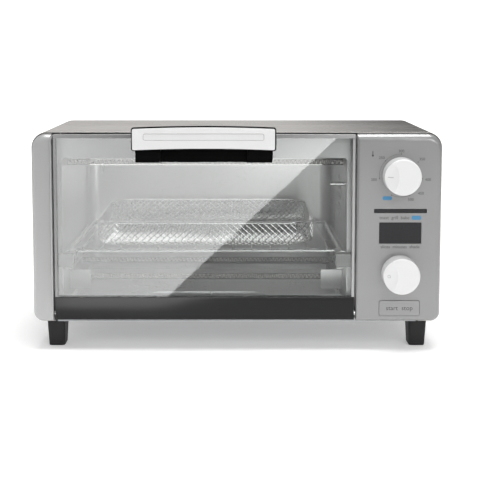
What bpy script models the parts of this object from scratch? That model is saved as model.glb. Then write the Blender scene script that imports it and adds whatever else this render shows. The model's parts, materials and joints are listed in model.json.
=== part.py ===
"""A countertop toaster oven with a drop-down glass door, as an assembly of separate solids.

Metres, +Z up. The origin is under the middle of the whole oven, on the surface that it stands on.
The door is on the -Y side. Depths are measured back from the front plane of the steel wrap, and
at() turns (x, depth, z) into a world position.
"""

import math

import bmesh
import bpy
from mathutils import Matrix, Vector

# --- driving dimensions: body ---
BODY_WIDTH = 0.420
BODY_HEIGHT = 0.196
FOOT_HEIGHT = 0.030
WRAP_DEPTH = 0.214
BULGE_DEPTH = 0.048
HANDLE_REACH = 0.034
SHEET = 0.0008
GAP = 0.0003
SPARE = 0.001  # how far a cutter runs past what it cuts
TOP_CORNER = 0.016
BOTTOM_CORNER = 0.010
FLANGE = 0.012
FOOT_INSET = 0.0208
FOOT_WIDTH = 0.019
FOOT_LENGTH = 0.034
FOOT_TAPER = 0.88
FOOT_SETBACK = 0.012

# --- driving dimensions: front mouldings and what they carry ---
BEZEL_WIDTH = 0.0212
PANEL_WIDTH = 0.0875
MOULDING_PROUD = 0.006
MOULDING_DEPTH = 0.016
MOULDING_WALL = 0.0022
TOP_FILLET = 0.008
SIDE_FILLET = 0.003
DISPLAY_SIZE = (0.0429, 0.0215)
INDICATOR_SIZE = (0.0539, 0.0039)
WINDOW_THICKNESS = 0.0014
WINDOW_LEDGE = 0.0008
BUTTON_SIZE = (0.0417, 0.0159)
BUTTON_CORNER = 0.002
BUTTON_PROUD = 0.001
BUTTON_TRAVEL = 0.0015
KNOB_RADIUS = 0.019
KNOB_DRAFT = 0.0006
KNOB_LENGTH = 0.0217
KNOB_EDGE = 0.0015
KNOB_WALL = 0.0018
KNOB_CROWN = 0.0068
KNOB_BOSS = 0.0055
KNOB_BORE_DEPTH = 0.012
KNOB_BOSS_SETBACK = 0.001
SCOOP_RADIUS = 0.060
SCOOP_RIM = 0.026
SCOOP_OFFSET = 0.0303
SHAFT_RADIUS = 0.002
BOARD_THICKNESS = 0.0016
ENCODER_SIZE = 0.014
ENCODER_DEPTH = 0.0065
ENCODER_FLOOR = 0.0012
STACK_BOTTOM = 0.00675
# clear heights above the button, the time knob, the display, the indicator and the temperature knob;
# all are scaled alike so that they fill the body's height
STACK_GAPS = (0.00935, 0.01205, 0.0101, 0.01545, 0.025)
FILLET_OVERRUN = 0.0003  # how far a fillet's cutter starts past the faces that it rounds

# --- driving dimensions: door ---
DOOR_SIDE_GAP = 0.0015
DOOR_END_GAP = 0.002
RAIL_HEIGHT = 0.0238
RAIL_DEPTH = 0.012
DOOR_PROUD = 0.005
GLASS_THICKNESS = 0.004
GLASS_LIP = 0.0009
TOP_TRIM = 0.004
SIDE_TRIM = 0.0028
TRIM_DEPTH = 0.0065
PIVOT_DEPTH = 0.001
PIVOT_RISE = 0.0065
PIN_RADIUS = 0.0025
PIN_IN = 0.0098
PIN_OUT = 0.0167
PLATE_WIDTH = 0.1425
PLATE_HEIGHT = 0.0212
PLATE_DROP = 0.016
PLATE_THICKNESS = 0.0025
PLATE_ARCH = 0.0016
GROOVE_SIZE = (0.121, 0.0072)
GROOVE_DEPTH = 0.0008
GRIP_MARGIN = 0.0013
GRIP_THICKNESS = 0.0057
STRIP_SIZE = (0.1395, 0.018)
STRIP_DROP = 0.030
STRIP_THICKNESS = 0.004
STANDOFF_WIDTH = 0.027
SCREW_RADIUS = 0.002
HOOK_LENGTH = 0.0285

# --- driving dimensions: cavity and what is in it ---
MOUTH_LEFT_MARGIN = 0.0063
MOUTH_RIGHT_MARGIN = 0.0070
MOUTH_BOTTOM = 0.020
MOUTH_TOP_MARGIN = 0.0275
MOUTH_CORNER = 0.004
FRAME_DEPTH = 0.0115
CAVITY_DEPTH = 0.252
CAVITY_CORNER = 0.014
LEDGE_WIDTH = 0.008
LEDGE_THICKNESS = 0.0012
LEDGE_START = 0.036
LEDGE_HEIGHTS = (0.0665, 0.0485)
TRAY_LIP = 0.006
LIP_LOW = 0.0118
LIP_HIGH = 0.0153
RACK_WIRE = 0.0019
RACK_BAR = 0.0012
RACK_BARS = 14
RACK_SIDE_GAP = 0.004
RACK_FRONT = 0.022
RACK_REAR = 0.245
RACK_CORNER = 0.008
BASKET_MARGIN = 0.027
BASKET_FRONT = 0.026
BASKET_REAR = 0.236
BASKET_HEIGHT = 0.026
BASKET_CORNER = 0.028
BASKET_EDGE = 0.008
BASKET_WALL = 0.001
BASKET_RIM = 0.0015
UPPER_TUBE_RADIUS = 0.0035
UPPER_TUBE_DROP = 0.0085
UPPER_TUBE_DEPTHS = (0.062, 0.175)
LOWER_TUBE_RADIUS = 0.0033
LOWER_TUBE_RISE = 0.014
LOWER_TUBE_DEPTHS = (0.072, 0.182)
TUBE_CAP_RADIUS = 0.0055
TUBE_CAP_LENGTH = 0.0165
FAN_DEPTH = 0.115
FAN_RISE = 0.02375
FAN_RADIUS = 0.040
FAN_HOUSING_DEPTH = 0.0219
BLADE_RADIUS = 0.035
BLADES = 5
MOTOR_SIZE = (0.026, 0.042, 0.040)
PROBE_DEPTH = 0.030
PROBE_RADIUS = 0.002
PROBE_RISE = 0.022
PROBE_REACH = 0.016
ROSETTE_HOLE = 0.0032
ROSETTE_RINGS = ((6, 0.011), (12, 0.022))
GLAND_INSET = 0.040
GLAND_HEIGHT = 0.030

# --- worked out ---
HALF_WIDTH = BODY_WIDTH / 2
BASE_Z = FOOT_HEIGHT
TOP_Z = BASE_Z + BODY_HEIGHT
FACE_Y = HANDLE_REACH - (HANDLE_REACH + WRAP_DEPTH + BULGE_DEPTH) / 2
REAR_DEPTH = WRAP_DEPTH + BULGE_DEPTH
WRAP_INSET = SHEET + GAP
MOULDING_BACK = MOULDING_DEPTH - MOULDING_PROUD
BEZEL_RIGHT = BEZEL_WIDTH - HALF_WIDTH
PANEL_LEFT = HALF_WIDTH - PANEL_WIDTH
PANEL_MIDDLE = (PANEL_LEFT + HALF_WIDTH) / 2 + 0.00125
WALL_BACK = MOULDING_WALL - MOULDING_PROUD
BOARD_FRONT = MOULDING_BACK + GAP
BOARD_BACK = BOARD_FRONT + BOARD_THICKNESS
SHAFT_HOLE = SHAFT_RADIUS + GAP
SWITCH_FRONT = MOULDING_BACK - 0.004
STACK_SIZES = (BUTTON_SIZE[1], 2 * KNOB_RADIUS, DISPLAY_SIZE[1], INDICATOR_SIZE[1], 2 * KNOB_RADIUS)
STACK_SCALE = (BODY_HEIGHT - STACK_BOTTOM - sum(STACK_SIZES)) / sum(STACK_GAPS)
BUTTON_Z = BASE_Z + STACK_BOTTOM + BUTTON_SIZE[1] / 2
TIME_KNOB_Z = BUTTON_Z + BUTTON_SIZE[1] / 2 + STACK_GAPS[0] * STACK_SCALE + KNOB_RADIUS
DISPLAY_Z = TIME_KNOB_Z + KNOB_RADIUS + STACK_GAPS[1] * STACK_SCALE + DISPLAY_SIZE[1] / 2
INDICATOR_Z = DISPLAY_Z + (DISPLAY_SIZE[1] + INDICATOR_SIZE[1]) / 2 + STACK_GAPS[2] * STACK_SCALE
TEMPERATURE_KNOB_Z = INDICATOR_Z + INDICATOR_SIZE[1] / 2 + STACK_GAPS[3] * STACK_SCALE + KNOB_RADIUS
GLAND_X = HALF_WIDTH - GLAND_INSET
GLAND_Z = BASE_Z + GLAND_HEIGHT

DOOR_LEFT = BEZEL_RIGHT + DOOR_SIDE_GAP
DOOR_RIGHT = PANEL_LEFT - DOOR_SIDE_GAP
DOOR_MIDDLE = (DOOR_LEFT + DOOR_RIGHT) / 2
DOOR_BOTTOM = BASE_Z + DOOR_END_GAP
DOOR_TOP = TOP_Z - DOOR_END_GAP
RAIL_TOP = DOOR_BOTTOM + RAIL_HEIGHT
PIVOT_Z = DOOR_BOTTOM + PIVOT_RISE
SLOT_FRONT = GLASS_LIP - DOOR_PROUD
GLASS_FRONT = SLOT_FRONT + GAP
GLASS_BACK = GLASS_FRONT + GLASS_THICKNESS
SLOT_BACK = GLASS_BACK + GAP
TRIM_BACK = TRIM_DEPTH - DOOR_PROUD
STRIP_FRONT = GLASS_FRONT - GAP - STRIP_THICKNESS
PLATE_BACK = PLATE_THICKNESS - HANDLE_REACH
GRIP_FRONT = PLATE_BACK + GAP
GRIP_BACK = GRIP_FRONT + GRIP_THICKNESS
STANDOFF_FRONT = GRIP_BACK + GAP
SCREW_OFFSET = (STRIP_SIZE[0] - STANDOFF_WIDTH) / 2
PLATE_LOW = TOP_Z - PLATE_DROP
STRIP_LOW = TOP_Z - STRIP_DROP
SCREW_Z = STRIP_LOW + STRIP_SIZE[1] / 2

MOUTH_LEFT = DOOR_LEFT + MOUTH_LEFT_MARGIN
MOUTH_RIGHT = DOOR_RIGHT - MOUTH_RIGHT_MARGIN
MOUTH_LOW = BASE_Z + MOUTH_BOTTOM
MOUTH_HIGH = TOP_Z - MOUTH_TOP_MARGIN
WALL_START = FRAME_DEPTH + SHEET + GAP
WALL_END = CAVITY_DEPTH - CAVITY_CORNER
CEILING_Z = MOUTH_HIGH + 0.0021
FLOOR_Z = MOUTH_LOW - 0.008
TRAY_Z = FLOOR_Z + SHEET + 0.0004
RACK_Z = BASE_Z + LEDGE_HEIGHTS[0] + LEDGE_THICKNESS + 0.0004 + RACK_WIRE
RACK_LEFT = MOUTH_LEFT + RACK_SIDE_GAP
RACK_RIGHT = MOUTH_RIGHT - RACK_SIDE_GAP
BAR_Z = RACK_Z + RACK_WIRE + RACK_BAR - GAP
BASKET_LEFT = RACK_LEFT + BASKET_MARGIN
BASKET_RIGHT = RACK_RIGHT - BASKET_MARGIN
BASKET_Z = BAR_Z + RACK_BAR + GAP
UPPER_TUBE_Z = MOUTH_HIGH - UPPER_TUBE_DROP
LOWER_TUBE_Z = MOUTH_LOW + LOWER_TUBE_RISE
FAN_Z = (MOUTH_LOW + MOUTH_HIGH) / 2 + FAN_RISE
PROBE_Z = FAN_Z + PROBE_RISE
RIGHT_WALL_OUT = MOUTH_RIGHT + SHEET
HOUSING_START = RIGHT_WALL_OUT + GAP
HOUSING_END = HOUSING_START + FAN_HOUSING_DEPTH
MOTOR_START = HOUSING_END + GAP

# name: (colour, roughness, metallic)
LOOKS = {
    "brushed_steel": ((0.52, 0.51, 0.50), 0.34, 1.0),
    "bright_steel": ((0.70, 0.70, 0.69), 0.22, 1.0),
    "galvanised": ((0.58, 0.59, 0.60), 0.45, 1.0),
    "silver_plastic": ((0.48, 0.48, 0.48), 0.38, 0.3),
    "panel_plastic": ((0.34, 0.34, 0.34), 0.42, 0.3),
    "white_plastic": ((0.90, 0.90, 0.90), 0.25, 0.0),
    "black_plastic": ((0.025, 0.025, 0.025), 0.45, 0.0),
    "rail_plastic": ((0.06, 0.06, 0.06), 0.40, 0.0),
    "dark_window": ((0.02, 0.02, 0.022), 0.10, 0.0),
    "glass": ((0.85, 0.88, 0.88), 0.05, 0.0),
    "quartz": ((0.80, 0.79, 0.76), 0.30, 0.0),
    "rubber": ((0.03, 0.03, 0.03), 0.70, 0.0),
    "circuit_board": ((0.03, 0.14, 0.06), 0.50, 0.0),
    "motor_steel": ((0.35, 0.35, 0.36), 0.40, 1.0),
}

for leftover in list(bpy.data.objects):
    bpy.data.objects.remove(leftover)

oven = bpy.data.collections.new("toaster_oven")
cutters = bpy.data.collections.new("cutters")
bpy.context.scene.collection.children.link(oven)
bpy.context.scene.collection.children.link(cutters)


# --- modelling helpers ---

def at(x, depth, z):
    """World position of x, a depth behind the wrap's front plane, and a height."""
    return Vector((x, FACE_Y + depth, z))


# local X and Y run along the two letters, local Z is the direction that the shape is drawn out in
PLANES = {
    "XZ": Matrix(((1, 0, 0), (0, 0, -1), (0, 1, 0))),
    "YZ": Matrix(((0, 0, 1), (1, 0, 0), (0, 1, 0))),
    "XY": Matrix.Identity(3),
}


def plane_matrix(plane):
    """Placing of a drawing plane whose own origin is at x 0, depth 0 and z 0."""
    return Matrix.Translation(at(0, 0, 0)) @ PLANES[plane].to_4x4()


def drawn(plane, value):
    """Local Z of a depth (XZ plane), an x (YZ plane) or a z (XY plane)."""
    return -value if plane == "XZ" else value


def principled(name, look):
    colour, roughness, metallic = LOOKS[look]
    finish = bpy.data.materials.new(f"{name}_{look}")
    finish.use_nodes = True
    shader = finish.node_tree.nodes["Principled BSDF"]
    shader.inputs["Base Color"].default_value = (*colour, 1.0)
    shader.inputs["Roughness"].default_value = roughness
    shader.inputs["Metallic"].default_value = metallic
    finish.diffuse_color = (*colour, 1.0)
    return finish


def add_object(name, shape, matrix, look=None):
    """Turns a bmesh into an object in the oven's collection."""
    mesh = bpy.data.meshes.new(name)
    shape.to_mesh(mesh)
    shape.free()
    piece = bpy.data.objects.new(name, mesh)
    piece.matrix_world = matrix
    oven.objects.link(piece)
    if look:
        mesh.materials.append(principled(name, look))
    return piece


def box(name, low, high, look=None):
    """A block between two corners, each (x, depth, z)."""
    size = [b - a for a, b in zip(low, high)]
    middle = [(a + b) / 2 for a, b in zip(low, high)]
    shape = bmesh.new()
    bmesh.ops.create_cube(shape, size=1.0, matrix=Matrix.Diagonal((*size, 1.0)))
    return add_object(name, shape, Matrix.Translation(at(*middle)), look)


def boxes(name, corners):
    """Several blocks apart from each other, as one cutter."""
    shape = bmesh.new()
    for low, high in corners:
        size = [b - a for a, b in zip(low, high)]
        middle = [(a + b) / 2 for a, b in zip(low, high)]
        matrix = Matrix.Translation(middle) @ Matrix.Diagonal((*size, 1.0))
        bmesh.ops.create_cube(shape, size=1.0, matrix=matrix)
    return add_object(name, shape, Matrix.Translation(at(0, 0, 0)))


def rod(name, start, end, radius, look=None, sides=24):
    """A round bar between two points, each (x, depth, z)."""
    start, end = at(*start), at(*end)
    along = end - start
    turn = Vector((0, 0, 1)).rotation_difference(along).to_matrix().to_4x4()
    shape = bmesh.new()
    bmesh.ops.create_cone(
        shape, cap_ends=True, segments=sides, radius1=radius, radius2=radius, depth=along.length
    )
    piece = add_object(name, shape, Matrix.Translation((start + end) / 2) @ turn, look)
    smooth(piece)
    return piece


def smooth(piece):
    piece.data.shade_smooth()
    piece.data.set_sharp_from_angle(angle=math.radians(35))


def arc(centre, radius, start, end, steps):
    """Points on a circle from one angle to another, in degrees."""
    turns = [math.radians(start + (end - start) * i / steps) for i in range(steps + 1)]
    return [(centre[0] + radius * math.cos(t), centre[1] + radius * math.sin(t)) for t in turns]


def circle(x, y, radius, sides=16):
    return arc((x, y), radius, 0, 360, sides)[:-1]


def rounded(left, right, low, high, radii, steps=6):
    """A rectangle with its own radius at each corner: lower left, lower right, upper right, upper left."""
    corners = (
        (left, low, 1, 1, 180), (right, low, -1, 1, 270),
        (right, high, -1, -1, 0), (left, high, 1, -1, 90),
    )
    points = []
    for (x, y, inward_x, inward_y, start), radius in zip(corners, radii):
        if radius <= 0:
            points.append((x, y))
        else:
            centre = (x + inward_x * radius, y + inward_y * radius)
            points += arc(centre, radius, start, start + 90, steps)
    return points


def inside_wrap(inset, left=None, right=None, low=None):
    """Outline that follows the wrap at a distance inside its outer face. A side given by left or
    right is a straight one, with square corners."""
    top, bottom = max(TOP_CORNER - inset, 0), max(BOTTOM_CORNER - inset, 0)
    return rounded(
        inset - HALF_WIDTH if left is None else left,
        HALF_WIDTH - inset if right is None else right,
        BASE_Z + inset if low is None else low,
        TOP_Z - inset,
        (0 if left is not None else bottom, 0 if right is not None else bottom,
         0 if right is not None else top, 0 if left is not None else top),
    )


def curve_mesh(name, curve, matrix, look):
    """Makes a curve a closed mesh object, with its caps welded on."""
    guide = bpy.data.objects.new(name + "_guide", curve)
    guide.matrix_world = matrix
    oven.objects.link(guide)
    bpy.context.view_layer.update()
    mesh = bpy.data.meshes.new_from_object(guide.evaluated_get(bpy.context.evaluated_depsgraph_get()))
    bpy.data.objects.remove(guide)
    shape = bmesh.new()
    shape.from_mesh(mesh)
    bmesh.ops.remove_doubles(shape, verts=shape.verts, dist=0.000001)
    bmesh.ops.recalc_face_normals(shape, faces=shape.faces)
    bpy.data.meshes.remove(mesh)
    return add_object(name, shape, matrix, look)


def slab(name, plane, outline, low, high, look=None, holes=()):
    """A flat outline, with holes, drawn out from low to high."""
    curve = bpy.data.curves.new(name, "CURVE")
    curve.dimensions = "2D"
    curve.fill_mode = "BOTH"
    curve.extrude = (high - low) / 2
    for loop in (outline, *holes):
        spline = curve.splines.new("POLY")
        spline.points.add(len(loop) - 1)
        for point, (u, v) in zip(spline.points, loop):
            point.co = (u, v, 0.0, 1.0)
        spline.use_cyclic_u = True
    shift = Matrix.Translation((0, 0, drawn(plane, (low + high) / 2)))
    return curve_mesh(name, curve, plane_matrix(plane) @ shift, look)


def wire(name, points, radius, look=None, closed=False, resolution=2):
    """A round wire through points, each (x, depth, z)."""
    curve = bpy.data.curves.new(name, "CURVE")
    curve.dimensions = "3D"
    curve.bevel_depth = radius
    curve.bevel_resolution = resolution
    curve.use_fill_caps = not closed
    spline = curve.splines.new("POLY")
    spline.points.add(len(points) - 1)
    for point, (x, depth, z) in zip(spline.points, points):
        point.co = (x, depth, z, 1.0)
    spline.use_cyclic_u = closed
    piece = curve_mesh(name, curve, Matrix.Translation(at(0, 0, 0)), look)
    smooth(piece)
    return piece


def sheet(name, plane, path, low, high, look=None):
    """Folded sheet metal: an open path drawn out from low to high. The path is one face of the
    sheet, and the wall grows to the left of the way that the path runs."""
    shape = bmesh.new()
    ends = sorted((drawn(plane, low), drawn(plane, high)))
    verts = [shape.verts.new((u, v, ends[0])) for u, v in path]
    edges = [shape.edges.new(pair) for pair in zip(verts, verts[1:])]
    grown = bmesh.ops.extrude_edge_only(shape, edges=edges)["geom"]
    moved = [item for item in grown if isinstance(item, bmesh.types.BMVert)]
    bmesh.ops.translate(shape, verts=moved, vec=(0, 0, ends[1] - ends[0]))
    shape.faces.ensure_lookup_table()
    shape.normal_update()
    along = Vector((path[1][0] - path[0][0], path[1][1] - path[0][1], 0))
    near_start = min(shape.faces, key=lambda f: (f.calc_center_median().xy - Vector(path[0])).length)
    if near_start.normal.dot(along.cross(Vector((0, 0, 1)))) < 0:
        bmesh.ops.reverse_faces(shape, faces=shape.faces)
    piece = add_object(name, shape, plane_matrix(plane), look)
    wall(piece, SHEET)
    return piece


def wall(piece, thickness):
    solidify = piece.modifiers.new("wall", "SOLIDIFY")
    solidify.thickness = thickness
    solidify.offset = -1
    solidify.use_even_offset = True


def round_edges(shape, edges, radius):
    bmesh.ops.bevel(
        shape, geom=edges, offset=radius, offset_type="OFFSET", segments=3, profile=0.5, affect="EDGES"
    )


def pan(name, plane, outline, floor, rim, edge, thickness, look=None):
    """An open pan: an outline drawn out from its floor to its rim, with a rounded floor edge."""
    shape = bmesh.new()
    start, end = drawn(plane, floor), drawn(plane, rim)
    base = shape.faces.new([shape.verts.new((u, v, start)) for u, v in outline])
    rims = list(base.edges)
    top = bmesh.ops.extrude_face_region(shape, geom=[base], use_keep_orig=True)["geom"]
    raised = [item for item in top if isinstance(item, bmesh.types.BMVert)]
    bmesh.ops.translate(shape, verts=raised, vec=(0, 0, end - start))
    bmesh.ops.recalc_face_normals(shape, faces=shape.faces)
    lids = [face for face in shape.faces if all(vert in raised for vert in face.verts)]
    bmesh.ops.delete(shape, geom=lids, context="FACES_ONLY")
    round_edges(shape, rims, edge)
    piece = add_object(name, shape, plane_matrix(plane), look)
    wall(piece, thickness)
    smooth(piece)
    return piece


def turned(name, profile, foot, direction, look=None, steps=32, ring=False):
    """A turned piece. The profile's (radius, height) points start at the top and run down the
    outside; a ring's profile closes on itself."""
    shape = bmesh.new()
    verts = [shape.verts.new((radius, 0, height)) for radius, height in profile]
    for pair in zip(verts, verts[1:]):
        shape.edges.new(pair)
    if ring:
        shape.edges.new((verts[-1], verts[0]))
    turn = Vector((0, 0, 1)).rotation_difference(Vector(direction)).to_matrix().to_4x4()
    piece = add_object(name, shape, Matrix.Translation(at(*foot)) @ turn, look)
    screw = piece.modifiers.new("turn", "SCREW")
    screw.steps = screw.render_steps = steps
    screw.use_merge_vertices = True
    screw.merge_threshold = 0.00001
    return piece


def combine(piece, tool, operation):
    """Cuts a tool from a piece, joins it on, or keeps what they share. The tool goes with the
    cutters and moves with the piece."""
    boolean = piece.modifiers.new(tool.name, "BOOLEAN")
    boolean.operation = operation
    boolean.object = tool
    boolean.solver = "EXACT"
    oven.objects.unlink(tool)
    cutters.objects.link(tool)
    tool.hide_render = True
    tool.display_type = "WIRE"
    tool.parent = piece
    tool.matrix_parent_inverse = piece.matrix_basis.inverted()


def cut(piece, *tools):
    for tool in tools:
        combine(piece, tool, "DIFFERENCE")


def join(piece, *tools):
    for tool in tools:
        combine(piece, tool, "UNION")


def pivot(name, x, depth, z, parent=None):
    """An empty on a joint's axis."""
    empty = bpy.data.objects.new(name, None)
    empty.empty_display_size = 0.02
    oven.objects.link(empty)
    empty.location = at(x, depth, z)
    if parent:
        bpy.context.view_layer.update()
        empty.parent = parent
        empty.matrix_parent_inverse = parent.matrix_world.inverted()
    return empty


def ride(empty, *pieces):
    bpy.context.view_layer.update()
    for piece in pieces:
        piece.parent = empty
        piece.matrix_parent_inverse = empty.matrix_world.inverted()


# --- casing ---

def outer_wrap():
    """Both sides, the top and two turned-in flanges, folded from one sheet, with side vents."""
    reach = HALF_WIDTH - BOTTOM_CORNER
    high, low = TOP_Z - TOP_CORNER, BASE_Z + BOTTOM_CORNER
    side = HALF_WIDTH - TOP_CORNER
    path = [(HALF_WIDTH - FLANGE - BOTTOM_CORNER, BASE_Z)]
    path += arc((reach, low), BOTTOM_CORNER, -90, 0, 6)
    path += arc((side, high), TOP_CORNER, 0, 90, 8)
    path += arc((-side, high), TOP_CORNER, 90, 180, 8)
    path += arc((-reach, low), BOTTOM_CORNER, 180, 270, 6)
    path += [(FLANGE + BOTTOM_CORNER - HALF_WIDTH, BASE_Z)]
    wrap = sheet("outer_wrap", "XZ", path, 0, WRAP_DEPTH, "brushed_steel")
    slot_height, pitch, slots = 0.0025, 0.008, 8
    start_share, length_share, first_share = 0.58, 0.17, 0.24
    start, length = WRAP_DEPTH * start_share, WRAP_DEPTH * length_share
    first = BASE_Z + BODY_HEIGHT * first_share
    corners = [
        ((HALF_WIDTH - SHEET - SPARE, start, first + pitch * i),
         (HALF_WIDTH + SPARE, start + length, first + pitch * i + slot_height))
        for i in range(slots)
    ]
    cut(wrap, boxes("side_vents", corners))
    smooth(wrap)


def base_pan():
    """Floor of the casing, on the wrap's flanges, with a hem turned down under the door."""
    hem_drop, hem_setback, rear_margin = 0.0025, 0.001, 0.0015
    low = BASE_Z + WRAP_INSET
    reach = HALF_WIDTH - BOTTOM_CORNER - GAP
    front = FRAME_DEPTH - hem_setback
    floor = box("base_pan", (-reach, front, low), (reach, WRAP_DEPTH - rear_margin, low + SHEET), "galvanised")
    hem_reach = HALF_WIDTH - BOTTOM_CORNER - FLANGE - hem_setback
    hem_low, hem_high = (-hem_reach, front, BASE_Z - hem_drop), (hem_reach, front + SHEET, low + SHEET)
    join(floor, box("pan_hem", hem_low, hem_high))
    slots, pitch, slot_width, slot_length = 14, 0.016, 0.004, 0.03
    row_shares = (0.22, 0.6)
    high = low + SHEET + SPARE
    first = DOOR_MIDDLE - pitch * slots / 2
    corners = [
        ((first + pitch * i, WRAP_DEPTH * share, low - SPARE),
         (first + pitch * i + slot_width, WRAP_DEPTH * share + slot_length, high))
        for i in range(slots)
        for share in row_shares
    ]
    cut(floor, boxes("floor_vents", corners))


def back_panel():
    """Rear plate, with a hollow bulge that makes room for the cavity's rounded back."""
    side_room, low_room, high_room = 0.011, 0.006, 0.0134
    corner, floor_edge, gland_hole = 0.014, 0.006, 0.0063
    front = WRAP_DEPTH - 0.0012
    left, right = MOUTH_LEFT - side_room, MOUTH_RIGHT + side_room
    low, high = FLOOR_Z - low_room, CEILING_Z + high_room
    lap = SHEET / 2
    hole = rounded(left + lap, right - lap, low + lap, high - lap, [corner - lap] * 4, 4)
    panel = slab(
        "back_panel", "XZ", inside_wrap(WRAP_INSET), front, front + SHEET, "galvanised",
        [hole, circle(GLAND_X, GLAND_Z, gland_hole)],
    )
    outline = rounded(left, right, low, high, [corner] * 4, 4)
    join(panel, pan("rear_bulge", "XZ", outline, REAR_DEPTH, front + SHEET / 4, floor_edge, SHEET))
    slot, pitch, slots, row_inset, cut_depth = (0.003, 0.022), 0.0085, 14, 0.022, 0.004
    middle = (left + right) / 2
    corners = [
        ((middle + pitch * (i - slots / 2), REAR_DEPTH - cut_depth, z),
         (middle + pitch * (i - slots / 2) + slot[0], REAR_DEPTH + SPARE, z + slot[1]))
        for i in range(slots)
        for z in (low + row_inset, high - row_inset - slot[1])
    ]
    cut(panel, boxes("rear_vents", corners))


def cord_gland():
    """Bush in the rear plate, with the bore that a mains lead would run through."""
    behind, tip_radius, neck, bore = 0.0055, 0.0042, 0.006, 0.0032
    flange_radius, flange_thickness, length = 0.009, 0.002, 0.022
    flange = behind - 0.0001
    profile = [
        (tip_radius, length), (neck + 0.0002, flange + flange_thickness),
        (flange_radius, flange + flange_thickness), (flange_radius, flange),
        (neck, flange), (neck, 0.0), (bore, 0.0), (bore, length),
    ]
    foot = (GLAND_X, WRAP_DEPTH - behind, GLAND_Z)
    turned("cord_gland", profile, foot, (0, 1, 0), "rubber", 20, ring=True)


def feet():
    """Four tapered feet, under the wrap's flanges."""
    x = HALF_WIDTH - FOOT_INSET
    rear = WRAP_DEPTH - FOOT_SETBACK - FOOT_LENGTH
    height = FOOT_HEIGHT - GAP
    corner, length_taper = 0.0025, FOOT_TAPER * 0.8
    for side, side_name in ((-1, "left"), (1, "right")):
        for depth, end_name in ((FOOT_SETBACK, "front"), (rear, "rear")):
            shape = bmesh.new()
            size = Matrix.Diagonal((FOOT_WIDTH, FOOT_LENGTH, height, 1.0))
            bmesh.ops.create_cube(shape, size=1.0, matrix=size)
            for vert in shape.verts:
                if vert.co.z < 0:
                    vert.co.x *= FOOT_TAPER
                    vert.co.y *= length_taper
            upright = [e for e in shape.edges if abs(e.verts[0].co.z - e.verts[1].co.z) > height / 2]
            round_edges(shape, upright, corner)
            place = Matrix.Translation(at(side * x, depth + FOOT_LENGTH / 2, height / 2))
            add_object(f"foot_{end_name}_{side_name}", shape, place, "rubber")


# --- front mouldings ---

def nose(front, back, low, high, low_radius, high_radius, front_spare):
    """Outline (depth, across) whose two front corners are rounded. Past the roundings it steps
    out, so that only the roundings shape what it is intersected with."""
    step = max(front_spare, SPARE)
    points = [(back, low - step), (back, high + step), (front + high_radius, high + step)]
    points += arc((front + high_radius, high - high_radius), high_radius, 90, 180, 5)
    if front_spare:
        points += [(front - front_spare, high - high_radius), (front - front_spare, low + low_radius)]
    points += arc((front + low_radius, low + low_radius), low_radius, 180, 270, 5)
    points += [(front + low_radius, low - step)]
    return points


def moulded(name, left, right, inset, back, look=None):
    """Solid with the outline of the wrap's inside, a large fillet along its top front edge and
    small ones down its sides. A left or right of None is the wrap's own side."""
    edge = WRAP_INSET + inset
    low, high = BASE_Z + edge, TOP_Z - edge
    start = left + inset if left is not None else edge - HALF_WIDTH
    end = right - inset if right is not None else HALF_WIDTH - edge
    front = inset - MOULDING_PROUD
    side = max(SIDE_FILLET - inset, 0.0002)
    outline = inside_wrap(edge, None if left is None else start, None if right is None else end)
    solid = slab(name, "XZ", outline, front - SPARE, back, look)
    over = FILLET_OVERRUN
    section = nose(front, back + SPARE, low - over, high + over, side, TOP_FILLET - inset, 0)
    combine(solid, slab(f"{name}_section", "YZ", section, start - SPARE, end + SPARE), "INTERSECT")
    plan = [(x, d) for d, x in nose(front - over, back + SPARE, start - over, end + over, side, side, SPARE)]
    combine(solid, slab(f"{name}_plan", "XY", plan, low - SPARE, high + SPARE), "INTERSECT")
    return solid


def left_bezel():
    bezel = moulded("left_bezel", None, BEZEL_RIGHT, 0, MOULDING_BACK, "silver_plastic")
    cut(bezel, moulded("bezel_hollow", None, BEZEL_RIGHT, MOULDING_WALL, MOULDING_BACK + SPARE))
    cut(bezel, hinge_notch("bezel_notch", -1))


def hinge_notch(name, side):
    """Cutter for the room round a hinge pin, in the wall beside the door."""
    room = 0.0015
    edge = DOOR_LEFT if side < 0 else DOOR_RIGHT
    end = edge + side * (DOOR_SIDE_GAP + MOULDING_WALL + SPARE)
    return rod(name, (edge, PIVOT_DEPTH, PIVOT_Z), (end, PIVOT_DEPTH, PIVOT_Z), PIN_RADIUS + room)


def window_cutters(name, size, middle_z):
    """A shallow pocket for a window, and the smaller opening behind it."""
    tools = []
    parts = (
        ("pocket", GAP, WINDOW_THICKNESS + GAP),
        ("opening", -WINDOW_LEDGE, MOULDING_WALL + SPARE),
    )
    for part, margin, back in parts:
        half = (size[0] / 2 + margin, size[1] / 2 + margin)
        low = (PANEL_MIDDLE - half[0], -MOULDING_PROUD - SPARE, middle_z - half[1])
        high = (PANEL_MIDDLE + half[0], back - MOULDING_PROUD, middle_z + half[1])
        tools.append(box(f"{name}_{part}", low, high))
    return tools


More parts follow.
